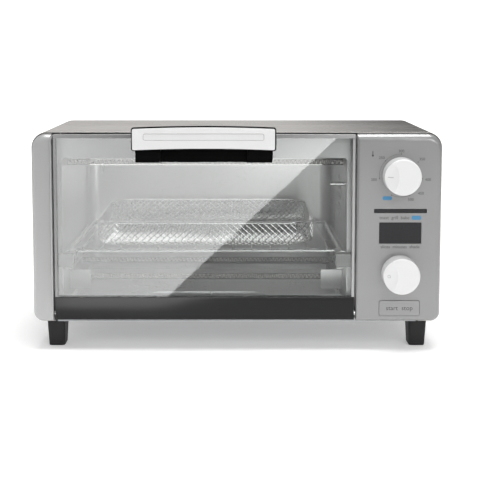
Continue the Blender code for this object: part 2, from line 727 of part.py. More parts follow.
def control_panel():
    panel = moulded("control_panel", PANEL_LEFT, None, 0, MOULDING_BACK, "panel_plastic")
    cut(panel, moulded("panel_hollow", PANEL_LEFT, None, MOULDING_WALL, MOULDING_BACK + SPARE))
    cut(panel, hinge_notch("panel_notch", 1))
    cut(panel, *window_cutters("display", DISPLAY_SIZE, DISPLAY_Z))
    cut(panel, *window_cutters("indicator", INDICATOR_SIZE, INDICATOR_Z))
    for name, z in (("temperature", TEMPERATURE_KNOB_Z), ("time", TIME_KNOB_Z)):
        start, end = -MOULDING_PROUD - SPARE, WALL_BACK + SPARE
        cut(panel, rod(f"{name}_hole", (PANEL_MIDDLE, start, z), (PANEL_MIDDLE, end, z), 2 * SHAFT_RADIUS))
    opening = button_outline(GAP)
    cut(panel, slab("button_hole", "XZ", opening, -MOULDING_PROUD - SPARE, WALL_BACK + SPARE))


def windows():
    for name, size, z in (
        ("display_window", DISPLAY_SIZE, DISPLAY_Z),
        ("indicator_window", INDICATOR_SIZE, INDICATOR_Z),
    ):
        low = (PANEL_MIDDLE - size[0] / 2, -MOULDING_PROUD, z - size[1] / 2)
        high = (PANEL_MIDDLE + size[0] / 2, WINDOW_THICKNESS - MOULDING_PROUD, z + size[1] / 2)
        box(name, low, high, "dark_window")


def button_outline(margin):
    left, right = (PANEL_MIDDLE + side * (BUTTON_SIZE[0] / 2 + margin) for side in (-1, 1))
    low, high = (BUTTON_Z + side * (BUTTON_SIZE[1] / 2 + margin) for side in (-1, 1))
    return rounded(left, right, low, high, [BUTTON_CORNER + margin] * 4, 4)


def start_button():
    """Key cap with a collar behind the panel and a stem that reaches for the switch."""
    collar_margin, collar_thickness, stem_radius, switch_room = 0.0008, 0.0012, 0.002, 0.0005
    x, z = PANEL_MIDDLE, BUTTON_Z
    collar_front = WALL_BACK + GAP
    collar_back = collar_front + collar_thickness
    face = -MOULDING_PROUD - BUTTON_PROUD
    button = slab("start_button", "XZ", button_outline(0), face, collar_back, "panel_plastic")
    join(button, slab("button_collar", "XZ", button_outline(collar_margin), collar_front, collar_back))
    stem_end = SWITCH_FRONT - BUTTON_TRAVEL - switch_room
    join(button, rod("button_stem", (x, collar_back - GAP, z), (x, stem_end, z), stem_radius, sides=16))
    ride(pivot("start_press", x, -MOULDING_PROUD, z), button)


def control_electronics():
    """Control board, the plugs on its rear, and the switch, module and encoders on its front."""
    x, half_switch = PANEL_MIDDLE, 0.003
    low, high = BUTTON_Z - half_switch, BUTTON_Z + half_switch
    start, end = (x - half_switch, SWITCH_FRONT, low), (x + half_switch, MOULDING_BACK, high)
    box("start_switch", start, end, "black_plastic")

    left_inset, right_inset, bottom_inset, top_inset = 0.0195, 0.007, 0.008, 0.018
    left, right = PANEL_LEFT + left_inset, HALF_WIDTH - right_inset
    bottom, top = BASE_Z + bottom_inset, TOP_Z - top_inset
    board = box("control_board", (left, BOARD_FRONT, bottom), (right, BOARD_BACK, top), "circuit_board")
    plug_far, plug_near, plug_depth, plug_height = 0.018, 0.006, 0.008, 0.014
    for name, share in (("supply_plug", 0.235), ("sensor_plug", 0.529), ("lamp_plug", 0.765)):
        z = bottom + (top - bottom) * share
        block_low = (right - plug_far, BOARD_BACK - GAP, z)
        block_high = (right - plug_near, BOARD_BACK + plug_depth, z + plug_height)
        join(board, box(name, block_low, block_high))

    half = (DISPLAY_SIZE[0] / 2, DISPLAY_SIZE[1] / 2 + 0.001)
    low = (x - half[0], WALL_BACK + GAP, DISPLAY_Z - half[1])
    box("display_module", low, (x + half[0], MOULDING_BACK, DISPLAY_Z + half[1]), "black_plastic")

    half, front = ENCODER_SIZE / 2, MOULDING_BACK - ENCODER_DEPTH
    for name, z in (("temperature_encoder", TEMPERATURE_KNOB_Z), ("time_encoder", TIME_KNOB_Z)):
        encoder = box(name, (x - half, front, z - half), (x + half, MOULDING_BACK, z + half), "motor_steel")
        end = MOULDING_BACK - ENCODER_FLOOR
        cut(encoder, rod(f"{name}_bore", (x, front - SPARE, z), (x, end, z), SHAFT_HOLE))


def power_electronics():
    """Board beside the cavity, with its transformer, relay and capacitor."""
    start_share, end_share, rise = 0.28, 0.70, 0.010
    wall_room, side_room = 0.0232, 0.010
    left, right = RIGHT_WALL_OUT + wall_room, HALF_WIDTH - side_room
    start, end = WRAP_DEPTH * start_share, WRAP_DEPTH * end_share
    low = BASE_Z + rise
    board = box("power_board", (left, start, low), (right, end, low + BOARD_THICKNESS), "circuit_board")
    top = low + BOARD_THICKNESS
    # each block: name, corner nearest the cavity and the door, size
    blocks = (
        ("transformer", (0.004, 0.006), (0.026, 0.030, 0.022)),
        ("relay", (0.036, 0.008), (0.016, 0.020, 0.016)),
    )
    for name, (across, behind), (width, length, height) in blocks:
        corner = (left + across, start + behind, top - GAP)
        join(board, box(name, corner, (corner[0] + width, corner[1] + length, top + height)))
    across, behind, height, radius = 0.044, 0.050, 0.020, 0.006
    spot = (left + across, start + behind)
    join(board, rod("capacitor", (*spot, top - GAP), (*spot, top + height), radius, sides=16))


def knob_profile():
    """Half section of a hollow knob, from the middle of its face round to its blind bore."""
    top = KNOB_RADIUS - KNOB_DRAFT
    inner_top, inner_base = top - KNOB_WALL, KNOB_RADIUS - KNOB_WALL
    ceiling, bore_end = KNOB_LENGTH - KNOB_CROWN, KNOB_BOSS_SETBACK + KNOB_BORE_DEPTH
    edge = [(top - KNOB_EDGE + r, z) for r, z in arc((0, KNOB_LENGTH - KNOB_EDGE), KNOB_EDGE, 90, 0, 4)]
    profile = [(0, KNOB_LENGTH)] + edge + [(KNOB_RADIUS, 0), (inner_base, 0), (inner_top, ceiling)]
    profile += [(KNOB_BOSS, ceiling), (KNOB_BOSS, KNOB_BOSS_SETBACK), (SHAFT_HOLE, KNOB_BOSS_SETBACK)]
    return profile + [(SHAFT_HOLE, bore_end), (0, bore_end)]


def control_knob(name, z):
    """A knob whose face is scooped out on its left by a large sphere, and the shaft it turns."""
    base = -MOULDING_PROUD - GAP
    foot = (PANEL_MIDDLE, base, z)
    knob = turned(f"{name}_knob", knob_profile(), foot, (0, -1, 0), "white_plastic", 36)
    rise = math.sqrt(SCOOP_RADIUS ** 2 - SCOOP_RIM ** 2)
    ball = bmesh.new()
    bmesh.ops.create_uvsphere(ball, u_segments=56, v_segments=28, radius=SCOOP_RADIUS)
    place = at(PANEL_MIDDLE - SCOOP_OFFSET, base - KNOB_LENGTH - rise, z)
    cut(knob, add_object(f"{name}_scoop", ball, Matrix.Translation(place)))
    front = base - KNOB_BOSS_SETBACK - KNOB_BORE_DEPTH + GAP
    back = MOULDING_BACK - ENCODER_FLOOR - GAP
    start, end = (PANEL_MIDDLE, front, z), (PANEL_MIDDLE, back, z)
    shaft = rod(f"{name}_shaft", start, end, SHAFT_RADIUS, "bright_steel")
    ride(pivot(f"{name}_turn", PANEL_MIDDLE, base, z), knob, shaft)


# --- door ---

def circle_hole(offset):
    return circle(DOOR_MIDDLE + offset, SCREW_Z, SCREW_RADIUS + GAP)


def glass_slot(name, left, right, low, high):
    """Cutter for the channel that an edge of the glass sits in."""
    return box(name, (left, SLOT_FRONT, low), (right, SLOT_BACK, high))


def door_panel():
    """The pane, the bottom rail that it stands in, and the trims round its other edges."""
    bite, low_round, high_round, pane_corner = 0.006, 0.0015, 0.0008, 0.001
    edge = SHEET + GAP
    low, high = RAIL_TOP - bite + GAP, DOOR_TOP - edge
    pane = rounded(DOOR_LEFT + edge, DOOR_RIGHT - edge, low, high, [pane_corner] * 4, 2)
    holes = [circle_hole(offset) for offset in (-SCREW_OFFSET, SCREW_OFFSET)]
    glass = slab("door_glass", "XZ", pane, GLASS_FRONT, GLASS_BACK, "glass", holes)

    back = RAIL_DEPTH - DOOR_PROUD
    section = nose(-DOOR_PROUD, back, DOOR_BOTTOM, RAIL_TOP, low_round, high_round, 0)
    section = [(d, min(max(z, DOOR_BOTTOM), RAIL_TOP)) for d, z in section]
    section = [p for i, p in enumerate(section) if p != section[i - 1]]
    rail = slab("door_bottom_rail", "YZ", section, DOOR_LEFT, DOOR_RIGHT, "rail_plastic")
    left, right = DOOR_LEFT + SHEET, DOOR_RIGHT - SHEET
    cut(rail, glass_slot("rail_slot", left, right, RAIL_TOP - bite, RAIL_TOP + SPARE))

    low = DOOR_TOP - TOP_TRIM
    front = -DOOR_PROUD
    top = box("door_top_trim", (DOOR_LEFT, front, low), (DOOR_RIGHT, TRIM_BACK, DOOR_TOP), "silver_plastic")
    cut(top, glass_slot("top_slot", left, right, low - SPARE, DOOR_TOP - SHEET))
    trims = [top]
    for side, name, edge_x in ((1, "left", DOOR_LEFT), (-1, "right", DOOR_RIGHT)):
        low_z, high_z = RAIL_TOP + GAP, low - GAP
        xs = sorted((edge_x, edge_x + side * SIDE_TRIM))
        trim = box(f"door_{name}_trim", (xs[0], front, low_z), (xs[1], TRIM_BACK, high_z), "silver_plastic")
        xs = sorted((edge_x + side * SHEET, edge_x + side * (SIDE_TRIM + SPARE)))
        cut(trim, glass_slot(f"{name}_slot", xs[0], xs[1], low_z - SPARE, high_z + SPARE))
        trims.append(trim)
    return [glass, rail, *trims]


def arched(margin, corner):
    """Outline of the handle, whose long edges rise in a low arch, grown by a margin."""
    half = PLATE_WIDTH / 2 + margin
    low, high = PLATE_LOW - margin, PLATE_LOW + PLATE_HEIGHT + margin
    outline = rounded(-half, half, low, high, [corner] * 4, 3)
    steps, straight_share = 8, 0.94
    across = [half * (2 * i / steps - 1) * straight_share for i in range(steps + 1)]
    lower = outline[:4] + [(x, low) for x in across] + outline[4:8]
    upper = outline[8:12] + [(x, high) for x in reversed(across)] + outline[12:]
    return [(DOOR_MIDDLE + x, z + PLATE_ARCH * (1 - (x / half) ** 2)) for x, z in lower + upper]


def handle():
    """White cover plate on a dark grip, and the strip in front of the glass that carries it."""
    plate_corner, grip_corner, groove_corner, strip_corner, groove_share = 0.0015, 0.0025, 0.002, 0.003, 0.58
    plate = slab("handle_plate", "XZ", arched(0, plate_corner), -HANDLE_REACH, PLATE_BACK, "white_plastic")
    z = PLATE_LOW + PLATE_HEIGHT * groove_share + PLATE_ARCH / 2
    reach, rise = GROOVE_SIZE[0] / 2, GROOVE_SIZE[1] / 2
    groove = rounded(DOOR_MIDDLE - reach, DOOR_MIDDLE + reach, z - rise, z + rise, [groove_corner] * 4, 3)
    cut(plate, slab("groove", "XZ", groove, -HANDLE_REACH - SPARE, GROOVE_DEPTH - HANDLE_REACH))
    outline = arched(GRIP_MARGIN, grip_corner)
    grip = slab("handle_grip", "XZ", outline, GRIP_FRONT, GRIP_BACK, "black_plastic")

    low, high = STRIP_LOW, STRIP_LOW + STRIP_SIZE[1]
    reach = STRIP_SIZE[0] / 2
    outline = rounded(DOOR_MIDDLE - reach, DOOR_MIDDLE + reach, low, high, [strip_corner] * 4, 3)
    base = slab("handle_base", "XZ", outline, STRIP_FRONT, GLASS_FRONT - GAP, "black_plastic")
    screws = [handle_screw(base, side, name) for side, name in ((-1, "left"), (1, "right"))]
    return [plate, grip, base, *screws]


def handle_screw(base, side, name):
    """A stand-off on the strip, and the screw that holds it from inside through the glass."""
    head_radius, head_height, bite = 0.004, 0.002, 0.006
    x = DOOR_MIDDLE + side * SCREW_OFFSET
    reach = STANDOFF_WIDTH / 2 - SPARE
    low = (x - reach, STANDOFF_FRONT, STRIP_LOW + SPARE)
    high = (x + reach, STRIP_FRONT + GAP, STRIP_LOW + STRIP_SIZE[1] - SPARE)
    join(base, box(f"standoff_{name}", low, high))
    head, tip = GLASS_BACK + GAP + head_height, STRIP_FRONT - bite
    start, end = (x, tip - GAP, SCREW_Z), (x, GLASS_FRONT + SPARE, SCREW_Z)
    cut(base, rod(f"screw_hole_{name}", start, end, SCREW_RADIUS + GAP, sides=16))
    length = head - tip
    profile = [
        (0, length), (SCREW_RADIUS, length), (SCREW_RADIUS, head_height),
        (head_radius, head_height), (head_radius, 0), (0, 0),
    ]
    return turned(f"handle_screw_{name}", profile, (x, head, SCREW_Z), (0, -1, 0), "bright_steel", 16)


def hinge_end(side, name, edge, rail):
    """Pin in the rail's end, bracket on the cavity's front frame, and the spring round the pin."""
    def x(offset):
        return edge + side * offset

    axis = (PIVOT_DEPTH, PIVOT_Z)
    pin = rod(f"hinge_pin_{name}", (x(-PIN_IN), *axis), (x(PIN_OUT), *axis), PIN_RADIUS, "bright_steel")
    cut(rail, rod(f"pin_hole_{name}", (x(-PIN_IN - 2 * GAP), *axis), (x(SPARE), *axis), PIN_RADIUS + GAP))

    plate_start, plate_end, foot_end, rise, wall_room = 0.0067, 0.0087, 0.0180, 0.0075, 0.0005
    low, high = BASE_Z + WRAP_INSET + MOULDING_WALL + GAP, PIVOT_Z + rise
    near, far = sorted((x(plate_start), x(plate_end)))
    front, back = WALL_BACK + wall_room, FRAME_DEPTH - GAP
    bracket = box(f"hinge_bracket_{name}", (near, front, low), (far, back, high), "galvanised")
    ends = sorted((x(plate_start), x(foot_end)))
    join(bracket, box(f"bracket_foot_{name}", (ends[0], MOULDING_BACK + GAP, low), (ends[1], back, high)))
    start, end = (x(plate_start - SPARE), *axis), (x(plate_end + SPARE), *axis)
    cut(bracket, rod(f"bracket_hole_{name}", start, end, PIN_RADIUS + GAP))

    turns, steps, radius, thickness = 5, 12, 0.0038, 0.0004
    start, length = 0.0101, 0.0053
    points = []
    for i in range(turns * steps + 1):
        turn = 2 * math.pi * i / steps
        along = start + length * i / (turns * steps)
        points.append((x(along), PIVOT_DEPTH + radius * math.cos(turn), PIVOT_Z + radius * math.sin(turn)))
    wire(f"hinge_spring_{name}", points, thickness, "bright_steel", resolution=1)
    return pin


def rack_hook(side, name, edge):
    """Arm on the door's inner face whose tip stands behind the rack's front wire."""
    tab_thickness, drop, arm_height = 0.0012, 0.0097, 0.0035
    tab_start, tab_end, arm_thickness = 0.0003, 0.0188, 0.0015
    tab_low, tab_high, tip_length, tip_rise = 0.004, 0.006, 0.003, 0.001
    front = TRIM_BACK + GAP
    tab_back = front + tab_thickness
    bottom = RACK_Z - drop
    top = bottom + arm_height
    tip_back = tab_back + HOOK_LENGTH
    inner = edge + side * tab_end
    tab_ends = sorted((edge + side * tab_start, inner))
    arm_ends = sorted((inner - side * arm_thickness, inner))
    low, high = (tab_ends[0], front, bottom - tab_low), (tab_ends[1], tab_back, top + tab_high)
    hook = box(f"rack_hook_{name}", low, high, "bright_steel")
    arm = box(f"hook_arm_{name}", (arm_ends[0], tab_back - GAP, bottom), (arm_ends[1], tip_back, top))
    low, high = (arm_ends[0], tip_back - tip_length, top - GAP), (arm_ends[1], tip_back, RACK_Z + tip_rise)
    join(hook, arm, box(f"hook_tip_{name}", low, high))
    return hook


def door():
    pieces = door_panel()
    rail = pieces[1]
    pieces += handle()
    for side, name, edge in ((-1, "left", DOOR_LEFT), (1, "right", DOOR_RIGHT)):
        pieces.append(hinge_end(side, name, edge, rail))
        pieces.append(rack_hook(-side, name, edge))
    ride(pivot("door_hinge", DOOR_MIDDLE, PIVOT_DEPTH, PIVOT_Z), *pieces)


# --- cavity ---

def cavity_shell():
    """Front frame, side walls with rack ledges, ceiling, and the back wall with round corners."""
    left, right = MOUTH_LEFT, MOUTH_RIGHT
    frame_inset, frame_rise, panel_lap = 0.003, 0.004, 0.0125
    mouth = rounded(left, right, MOUTH_LOW, MOUTH_HIGH, [MOUTH_CORNER] * 4, 4)
    outline = inside_wrap(frame_inset, right=PANEL_LEFT + panel_lap, low=BASE_Z + frame_rise)
    end = FRAME_DEPTH + SHEET
    slab("cavity_front_frame", "XZ", outline, FRAME_DEPTH, end, "bright_steel", [mouth])

    side_wall("left", 1, left)
    rosette(side_wall("right", -1, right))

    corner = CAVITY_CORNER + SHEET
    rear = CAVITY_DEPTH + SHEET
    lid = rounded(left - SHEET, right + SHEET, WALL_START, rear, (0, 0, corner, corner), 5)
    slab("cavity_top", "XY", lid, CEILING_Z, CEILING_Z + SHEET, "bright_steel")
    centre = rear - corner
    path = [(right + SHEET, centre + GAP)]
    path += arc((right + SHEET - corner, centre), corner, 0, 90, 6)[1:]
    path += arc((left - SHEET + corner, centre), corner, 90, 180, 6)[:-1]
    path += [(left - SHEET, centre + GAP)]
    sheet("cavity_back_wall", "XY", path, FLOOR_Z, CEILING_Z - GAP, "bright_steel")


def side_wall(name, side, inner):
    """Wall with a flange at its foot, two ledges, and holes for the heating tubes."""
    flange, ledge_margin, tube_room, reach = 0.010, 0.002, 0.0008, 0.003
    top, outer = CEILING_Z - GAP, inner - side * SHEET
    path = [(outer, top), (outer, FLOOR_Z), (inner + side * flange, FLOOR_Z)]
    if side < 0:
        path.reverse()
    panel = sheet(f"cavity_{name}_wall", "XZ", path, WALL_START, WALL_END, "bright_steel")
    xs = sorted((inner - side * SHEET / 4, inner + side * LEDGE_WIDTH))
    for number, height in enumerate(LEDGE_HEIGHTS):
        z = BASE_Z + height
        low, high = (xs[0], LEDGE_START, z), (xs[1], WALL_END - ledge_margin, z + LEDGE_THICKNESS)
        join(panel, box(f"ledge_{name}_{number}", low, high))
    tubes = [(d, UPPER_TUBE_Z, UPPER_TUBE_RADIUS) for d in UPPER_TUBE_DEPTHS]
    tubes += [(d, LOWER_TUBE_Z, LOWER_TUBE_RADIUS) for d in LOWER_TUBE_DEPTHS]
    for number, (depth, z, radius) in enumerate(tubes):
        start, end = (inner - reach, depth, z), (inner + reach, depth, z)
        cut(panel, rod(f"tube_hole_{name}_{number}", start, end, radius + tube_room, sides=16))
    return panel


def rosette(panel):
    """Round holes in front of the fan, one in the middle and two rings round it, and the hole
    for the temperature probe."""
    spots = [(FAN_DEPTH, FAN_Z)]
    for count, radius in ROSETTE_RINGS:
        spots += circle(FAN_DEPTH, FAN_Z, radius, count)
    near, far = MOUTH_RIGHT - SPARE, RIGHT_WALL_OUT + SPARE
    for number, spot in enumerate(spots):
        cut(panel, rod(f"fan_hole_{number}", (near, *spot), (far, *spot), ROSETTE_HOLE, sides=8))
    axis = (PROBE_DEPTH, PROBE_Z)
    cut(panel, rod("probe_hole", (near, *axis), (far, *axis), PROBE_RADIUS + GAP, sides=16))


def temperature_probe():
    """Sensor rod through the right wall, with a collar outside it."""
    outside, collar_length, collar_radius = 0.012, 0.004, 2.5 * PROBE_RADIUS
    axis = (PROBE_DEPTH, PROBE_Z)
    start, end = (MOUTH_RIGHT - PROBE_REACH, *axis), (HOUSING_START + outside, *axis)
    probe = rod("temperature_probe", start, end, PROBE_RADIUS, "bright_steel", 16)
    start, end = (HOUSING_START, *axis), (HOUSING_START + collar_length, *axis)
    join(probe, rod("probe_collar", start, end, collar_radius, sides=16))


def heating_tubes():
    """Four tubes across the cavity, each with a wider cap outside either side wall."""
    groups = (
        ("upper", UPPER_TUBE_DEPTHS, UPPER_TUBE_Z, UPPER_TUBE_RADIUS),
        ("lower", LOWER_TUBE_DEPTHS, LOWER_TUBE_Z, LOWER_TUBE_RADIUS),
    )
    left, right = MOUTH_LEFT - SHEET - GAP, RIGHT_WALL_OUT + GAP
    for level, depths, z, radius in groups:
        for end_name, depth in zip(("front", "rear"), depths):
            name = f"{level}_{end_name}_element"
            tube = rod(name, (left - SPARE, depth, z), (right + SPARE, depth, z), radius, "quartz", 16)
            for side, side_name, x in ((-1, "left", left), (1, "right", right)):
                end = x + side * TUBE_CAP_LENGTH
                cap = rod(f"{name}_cap_{side_name}", (x, depth, z), (end, depth, z), TUBE_CAP_RADIUS, sides=16)
                join(tube, cap)


def crumb_tray():
    """Shallow tray on the side walls' flanges, with a front lip that is raised in its middle."""
    side_gap, front_gap, rear_gap, off_middle = 0.0045, 0.0019, 0.004, 0.001
    left, right = MOUTH_LEFT + side_gap, MOUTH_RIGHT - side_gap
    front, rear = WALL_START + front_gap, WALL_END - rear_gap
    top = TRAY_Z + SHEET + TRAY_LIP
    path = [(left, top), (left, TRAY_Z), (right, TRAY_Z), (right, top)]
    tray = sheet("crumb_tray", "XZ", path, front, rear, "bright_steel")
    low_lip, high_lip = TRAY_Z + LIP_LOW, TRAY_Z + LIP_HIGH
    middle, half, slope = DOOR_MIDDLE + off_middle, 0.052, 0.012
    lip = [
        (left, TRAY_Z), (right, TRAY_Z), (right, low_lip), (middle + half + slope, low_lip),
        (middle + half, high_lip), (middle - half, high_lip), (middle - half - slope, low_lip),
        (left, low_lip),
    ]
    join(tray, slab("tray_front_lip", "XZ", lip, front - SHEET / 2, front + SHEET / 2))
    lip = rounded(left, right, TRAY_Z, top, [0] * 4)
    join(tray, slab("tray_rear_lip", "XZ", lip, rear - SHEET / 2, rear + SHEET / 2))


def wire_rack(carrier):
    """Closed frame wire with bars from front to back welded on top of it."""
    x1, x2 = RACK_LEFT + RACK_WIRE, RACK_RIGHT - RACK_WIRE
    d1, d2 = RACK_FRONT + RACK_WIRE, RACK_REAR - RACK_WIRE
    loop = [(x, d, RACK_Z) for x, d in rounded(x1, x2, d1, d2, [RACK_CORNER] * 4, 4)]
    rack = wire("wire_rack", loop, RACK_WIRE, "bright_steel", closed=True)
    edge_share, bar_end = 0.4, 0.0008
    pitch = (x2 - x1) / (RACK_BARS + edge_share)
    for number in range(RACK_BARS):
        x = (x1 + x2) / 2 + pitch * (number - (RACK_BARS - 1) / 2)
        start, end = (x, d1 - bar_end, BAR_Z), (x, d2 + bar_end, BAR_Z)
        join(rack, rod(f"rack_bar_{number}", start, end, RACK_BAR, sides=8))
    ride(carrier, rack)


def air_fry_basket(carrier):
    """Shallow basket: a thin pan of the mesh's outer shape, with a rim wire."""
    left, right, front, rear = BASKET_LEFT, BASKET_RIGHT, BASKET_FRONT, BASKET_REAR
    outline = rounded(left, right, front, rear, [BASKET_CORNER] * 4, 6)
    rim_z = BASKET_Z + BASKET_HEIGHT - BASKET_RIM
    look = "bright_steel"
    basket = pan("air_fry_basket", "XY", outline, BASKET_Z, rim_z, BASKET_EDGE, BASKET_WALL, look)
    inset = BASKET_WALL / 2
    radii = [BASKET_CORNER - inset] * 4
    loop = rounded(left + inset, right - inset, front + inset, rear - inset, radii, 6)
    join(basket, wire("basket_rim", [(x, d, rim_z) for x, d in loop], BASKET_RIM, closed=True))
    ride(pivot("basket_lift", (left + right) / 2, (front + rear) / 2, BASKET_Z, carrier), basket)


# --- fan ---

def fan():
    """Cup-shaped housing on the right wall, a five-bladed wheel in it, and the motor outside."""
    shaft_room, cup_wall = 2 * SHAFT_RADIUS, 0.001
    inner, end = FAN_RADIUS - cup_wall, FAN_HOUSING_DEPTH
    profile = [
        (FAN_RADIUS, end), (FAN_RADIUS, 0), (inner, 0), (inner, end - cup_wall),
        (shaft_room, end - cup_wall), (shaft_room, end),
    ]
    foot = (HOUSING_START, FAN_DEPTH, FAN_Z)
    turned("fan_housing", profile, foot, (1, 0, 0), "galvanised", 32, ring=True)

    bore_depth, shaft_setback, shaft_gap = 0.012, 0.004, 0.0005
    deep, tall = MOTOR_SIZE[1] / 2, MOTOR_SIZE[2] / 2
    low = (MOTOR_START, FAN_DEPTH - deep, FAN_Z - tall)
    high = (MOTOR_START + MOTOR_SIZE[0], FAN_DEPTH + deep, FAN_Z + tall)
    motor = box("fan_motor", low, high, "motor_steel")
    axis = (FAN_DEPTH, FAN_Z)
    bore_end = MOTOR_START + bore_depth
    cut(motor, rod("motor_bore", (MOTOR_START - SPARE, *axis), (bore_end, *axis), SHAFT_HOLE))
    start, end = (HOUSING_START + shaft_setback, *axis), (bore_end - shaft_gap, *axis)
    shaft = rod("fan_shaft", start, end, SHAFT_RADIUS, "bright_steel")

    wheel = fan_wheel(axis)
    ride(pivot("fan_spin", HOUSING_START, *axis), wheel, shaft)


def fan_wheel(axis):
    """A hub with a blind bore and twisted blades round it."""
    hub_start, hub_length, hub_radius, bore_floor = 0.0028, 0.0127, 0.008, 0.001
    blade_thickness, blade_width, blade_root, blade_pitch = 0.001, 0.014, 0.006, 38
    start = HOUSING_START + hub_start
    end = start + hub_length
    wheel = rod("fan_blade", (start, *axis), (end, *axis), hub_radius, "bright_steel")
    reach = BLADE_RADIUS - blade_root
    size = Matrix.Diagonal((blade_thickness, blade_width, reach, 1.0))
    lift = Matrix.Translation((0, 0, blade_root + reach / 2))
    pitch = Matrix.Rotation(math.radians(blade_pitch), 4, "Z")
    for number in range(BLADES):
        turn = Matrix.Rotation(2 * math.pi * number / BLADES, 4, "X")
        shape = bmesh.new()
        bmesh.ops.create_cube(shape, size=1.0, matrix=turn @ lift @ pitch @ size)
        middle = Matrix.Translation(at((start + end) / 2, *axis))
        join(wheel, add_object(f"blade_{number}", shape, middle))
    cut(wheel, rod("hub_bore", (start + bore_floor, *axis), (end + SPARE, *axis), SHAFT_HOLE))
    return wheel


outer_wrap()
base_pan()
back_panel()
cord_gland()
feet()
left_bezel()
control_panel()
windows()
start_button()
control_electronics()
power_electronics()
control_knob("temperature", TEMPERATURE_KNOB_Z)
control_knob("time", TIME_KNOB_Z)
door()
cavity_shell()
temperature_probe()
heating_tubes()
crumb_tray()
rack_carrier = pivot("rack_slide", DOOR_MIDDLE, RACK_FRONT, RACK_Z)
wire_rack(rack_carrier)
air_fry_basket(rack_carrier)
fan()
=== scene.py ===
import json
import math

import bmesh
import bpy
import numpy as np
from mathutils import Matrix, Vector

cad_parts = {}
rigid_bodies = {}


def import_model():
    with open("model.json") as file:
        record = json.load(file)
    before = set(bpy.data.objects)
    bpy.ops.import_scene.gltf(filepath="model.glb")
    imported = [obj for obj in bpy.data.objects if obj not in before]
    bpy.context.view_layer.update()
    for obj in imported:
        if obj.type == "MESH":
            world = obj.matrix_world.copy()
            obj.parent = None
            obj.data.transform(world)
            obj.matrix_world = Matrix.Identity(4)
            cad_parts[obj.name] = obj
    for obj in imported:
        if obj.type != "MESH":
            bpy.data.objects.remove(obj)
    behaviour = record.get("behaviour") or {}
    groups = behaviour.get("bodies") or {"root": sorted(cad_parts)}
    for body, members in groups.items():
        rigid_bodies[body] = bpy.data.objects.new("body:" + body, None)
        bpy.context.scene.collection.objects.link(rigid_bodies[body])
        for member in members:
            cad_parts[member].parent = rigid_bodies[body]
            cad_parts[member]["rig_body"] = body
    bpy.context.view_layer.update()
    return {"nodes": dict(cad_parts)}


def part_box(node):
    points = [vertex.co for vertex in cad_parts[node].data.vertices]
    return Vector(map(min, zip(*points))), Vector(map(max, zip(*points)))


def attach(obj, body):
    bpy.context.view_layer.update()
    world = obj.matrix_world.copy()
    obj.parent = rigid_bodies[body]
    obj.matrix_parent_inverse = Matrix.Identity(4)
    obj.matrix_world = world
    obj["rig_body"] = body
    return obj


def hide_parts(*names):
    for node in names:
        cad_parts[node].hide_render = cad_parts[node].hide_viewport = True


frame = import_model()
nodes = frame["nodes"]
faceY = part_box("outer_wrap")[0].y  # front plane of the steel casing
print("frame loaded:", len(nodes), "nodes")


# surfaces from whole arrays

def gridFaces(rows, cols, closeRows=False, closeCols=False):
    # each quad joins a grid point to its right, upper right and upper neighbour
    index = np.arange(rows * cols).reshape(rows, cols)
    if closeRows:
        index = np.vstack([index, index[:1]])
    if closeCols:
        index = np.hstack([index, index[:, :1]])
    corners = [index[:-1, :-1], index[:-1, 1:], index[1:, 1:], index[1:, :-1]]
    return np.stack(corners, axis=-1).reshape(-1, 4)


def bothEnds(rows, cols):
    # the first and last rings, as two flat caps
    return [list(range(cols)), list(range((rows - 1) * cols, rows * cols))]


def makePiece(name, points, faces, caps=(), sharp=35, tidy=True):
    mesh = bpy.data.meshes.new(name)
    corners = np.asarray(points, float).reshape(-1, 3).tolist()
    mesh.from_pydata(corners, [], list(faces.tolist()) + list(caps))
    piece = bpy.data.objects.new(name, mesh)
    bpy.context.scene.collection.objects.link(piece)
    if tidy:
        tidyMesh(mesh, sharp)
    return piece


def tidyMesh(mesh, sharp, merge=0.000002):
    shape = bmesh.new()
    shape.from_mesh(mesh)
    bmesh.ops.remove_doubles(shape, verts=shape.verts, dist=merge)
    bmesh.ops.recalc_face_normals(shape, faces=shape.faces)
    shape.to_mesh(mesh)
    shape.free()
    mesh.shade_smooth()
    mesh.set_sharp_from_angle(angle=math.radians(sharp))


def solidMesh(piece):
    bpy.context.view_layer.update()
    return bpy.data.meshes.new_from_object(piece.evaluated_get(bpy.context.evaluated_depsgraph_get()))


def baked(piece, sharp=35):
    # the piece with its modifiers applied
    solid = solidMesh(piece)
    piece.modifiers.clear()
    piece.data = solid
    tidyMesh(solid, sharp)
    return piece


def cutWith(piece, *tools):
    for tool in tools:
        cut = piece.modifiers.new(tool.name, "BOOLEAN")
        cut.object = tool
        cut.solver = "EXACT"
    baked(piece)
    for tool in tools:
        bpy.data.objects.remove(tool)
    return piece


def softEdge(piece, width, angle):
    edge = piece.modifiers.new("edge", "BEVEL")
    edge.width = width
    edge.segments = 2
    edge.limit_method = "ANGLE"
    edge.angle_limit = math.radians(angle)
    edge.harden_normals = True


def dress(piece, body, slot, finish, *stoodFor):
    piece.data.materials.clear()
    piece.data.materials.append(finish)
    if not piece.modifiers:
        # a large flat face keeps its own normal up to a rolled edge
        flat = piece.modifiers.new("flat_faces", "WEIGHTED_NORMAL")
        flat.keep_sharp = True
    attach(piece, body)
    if stoodFor:
        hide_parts(*stoodFor)
    return piece


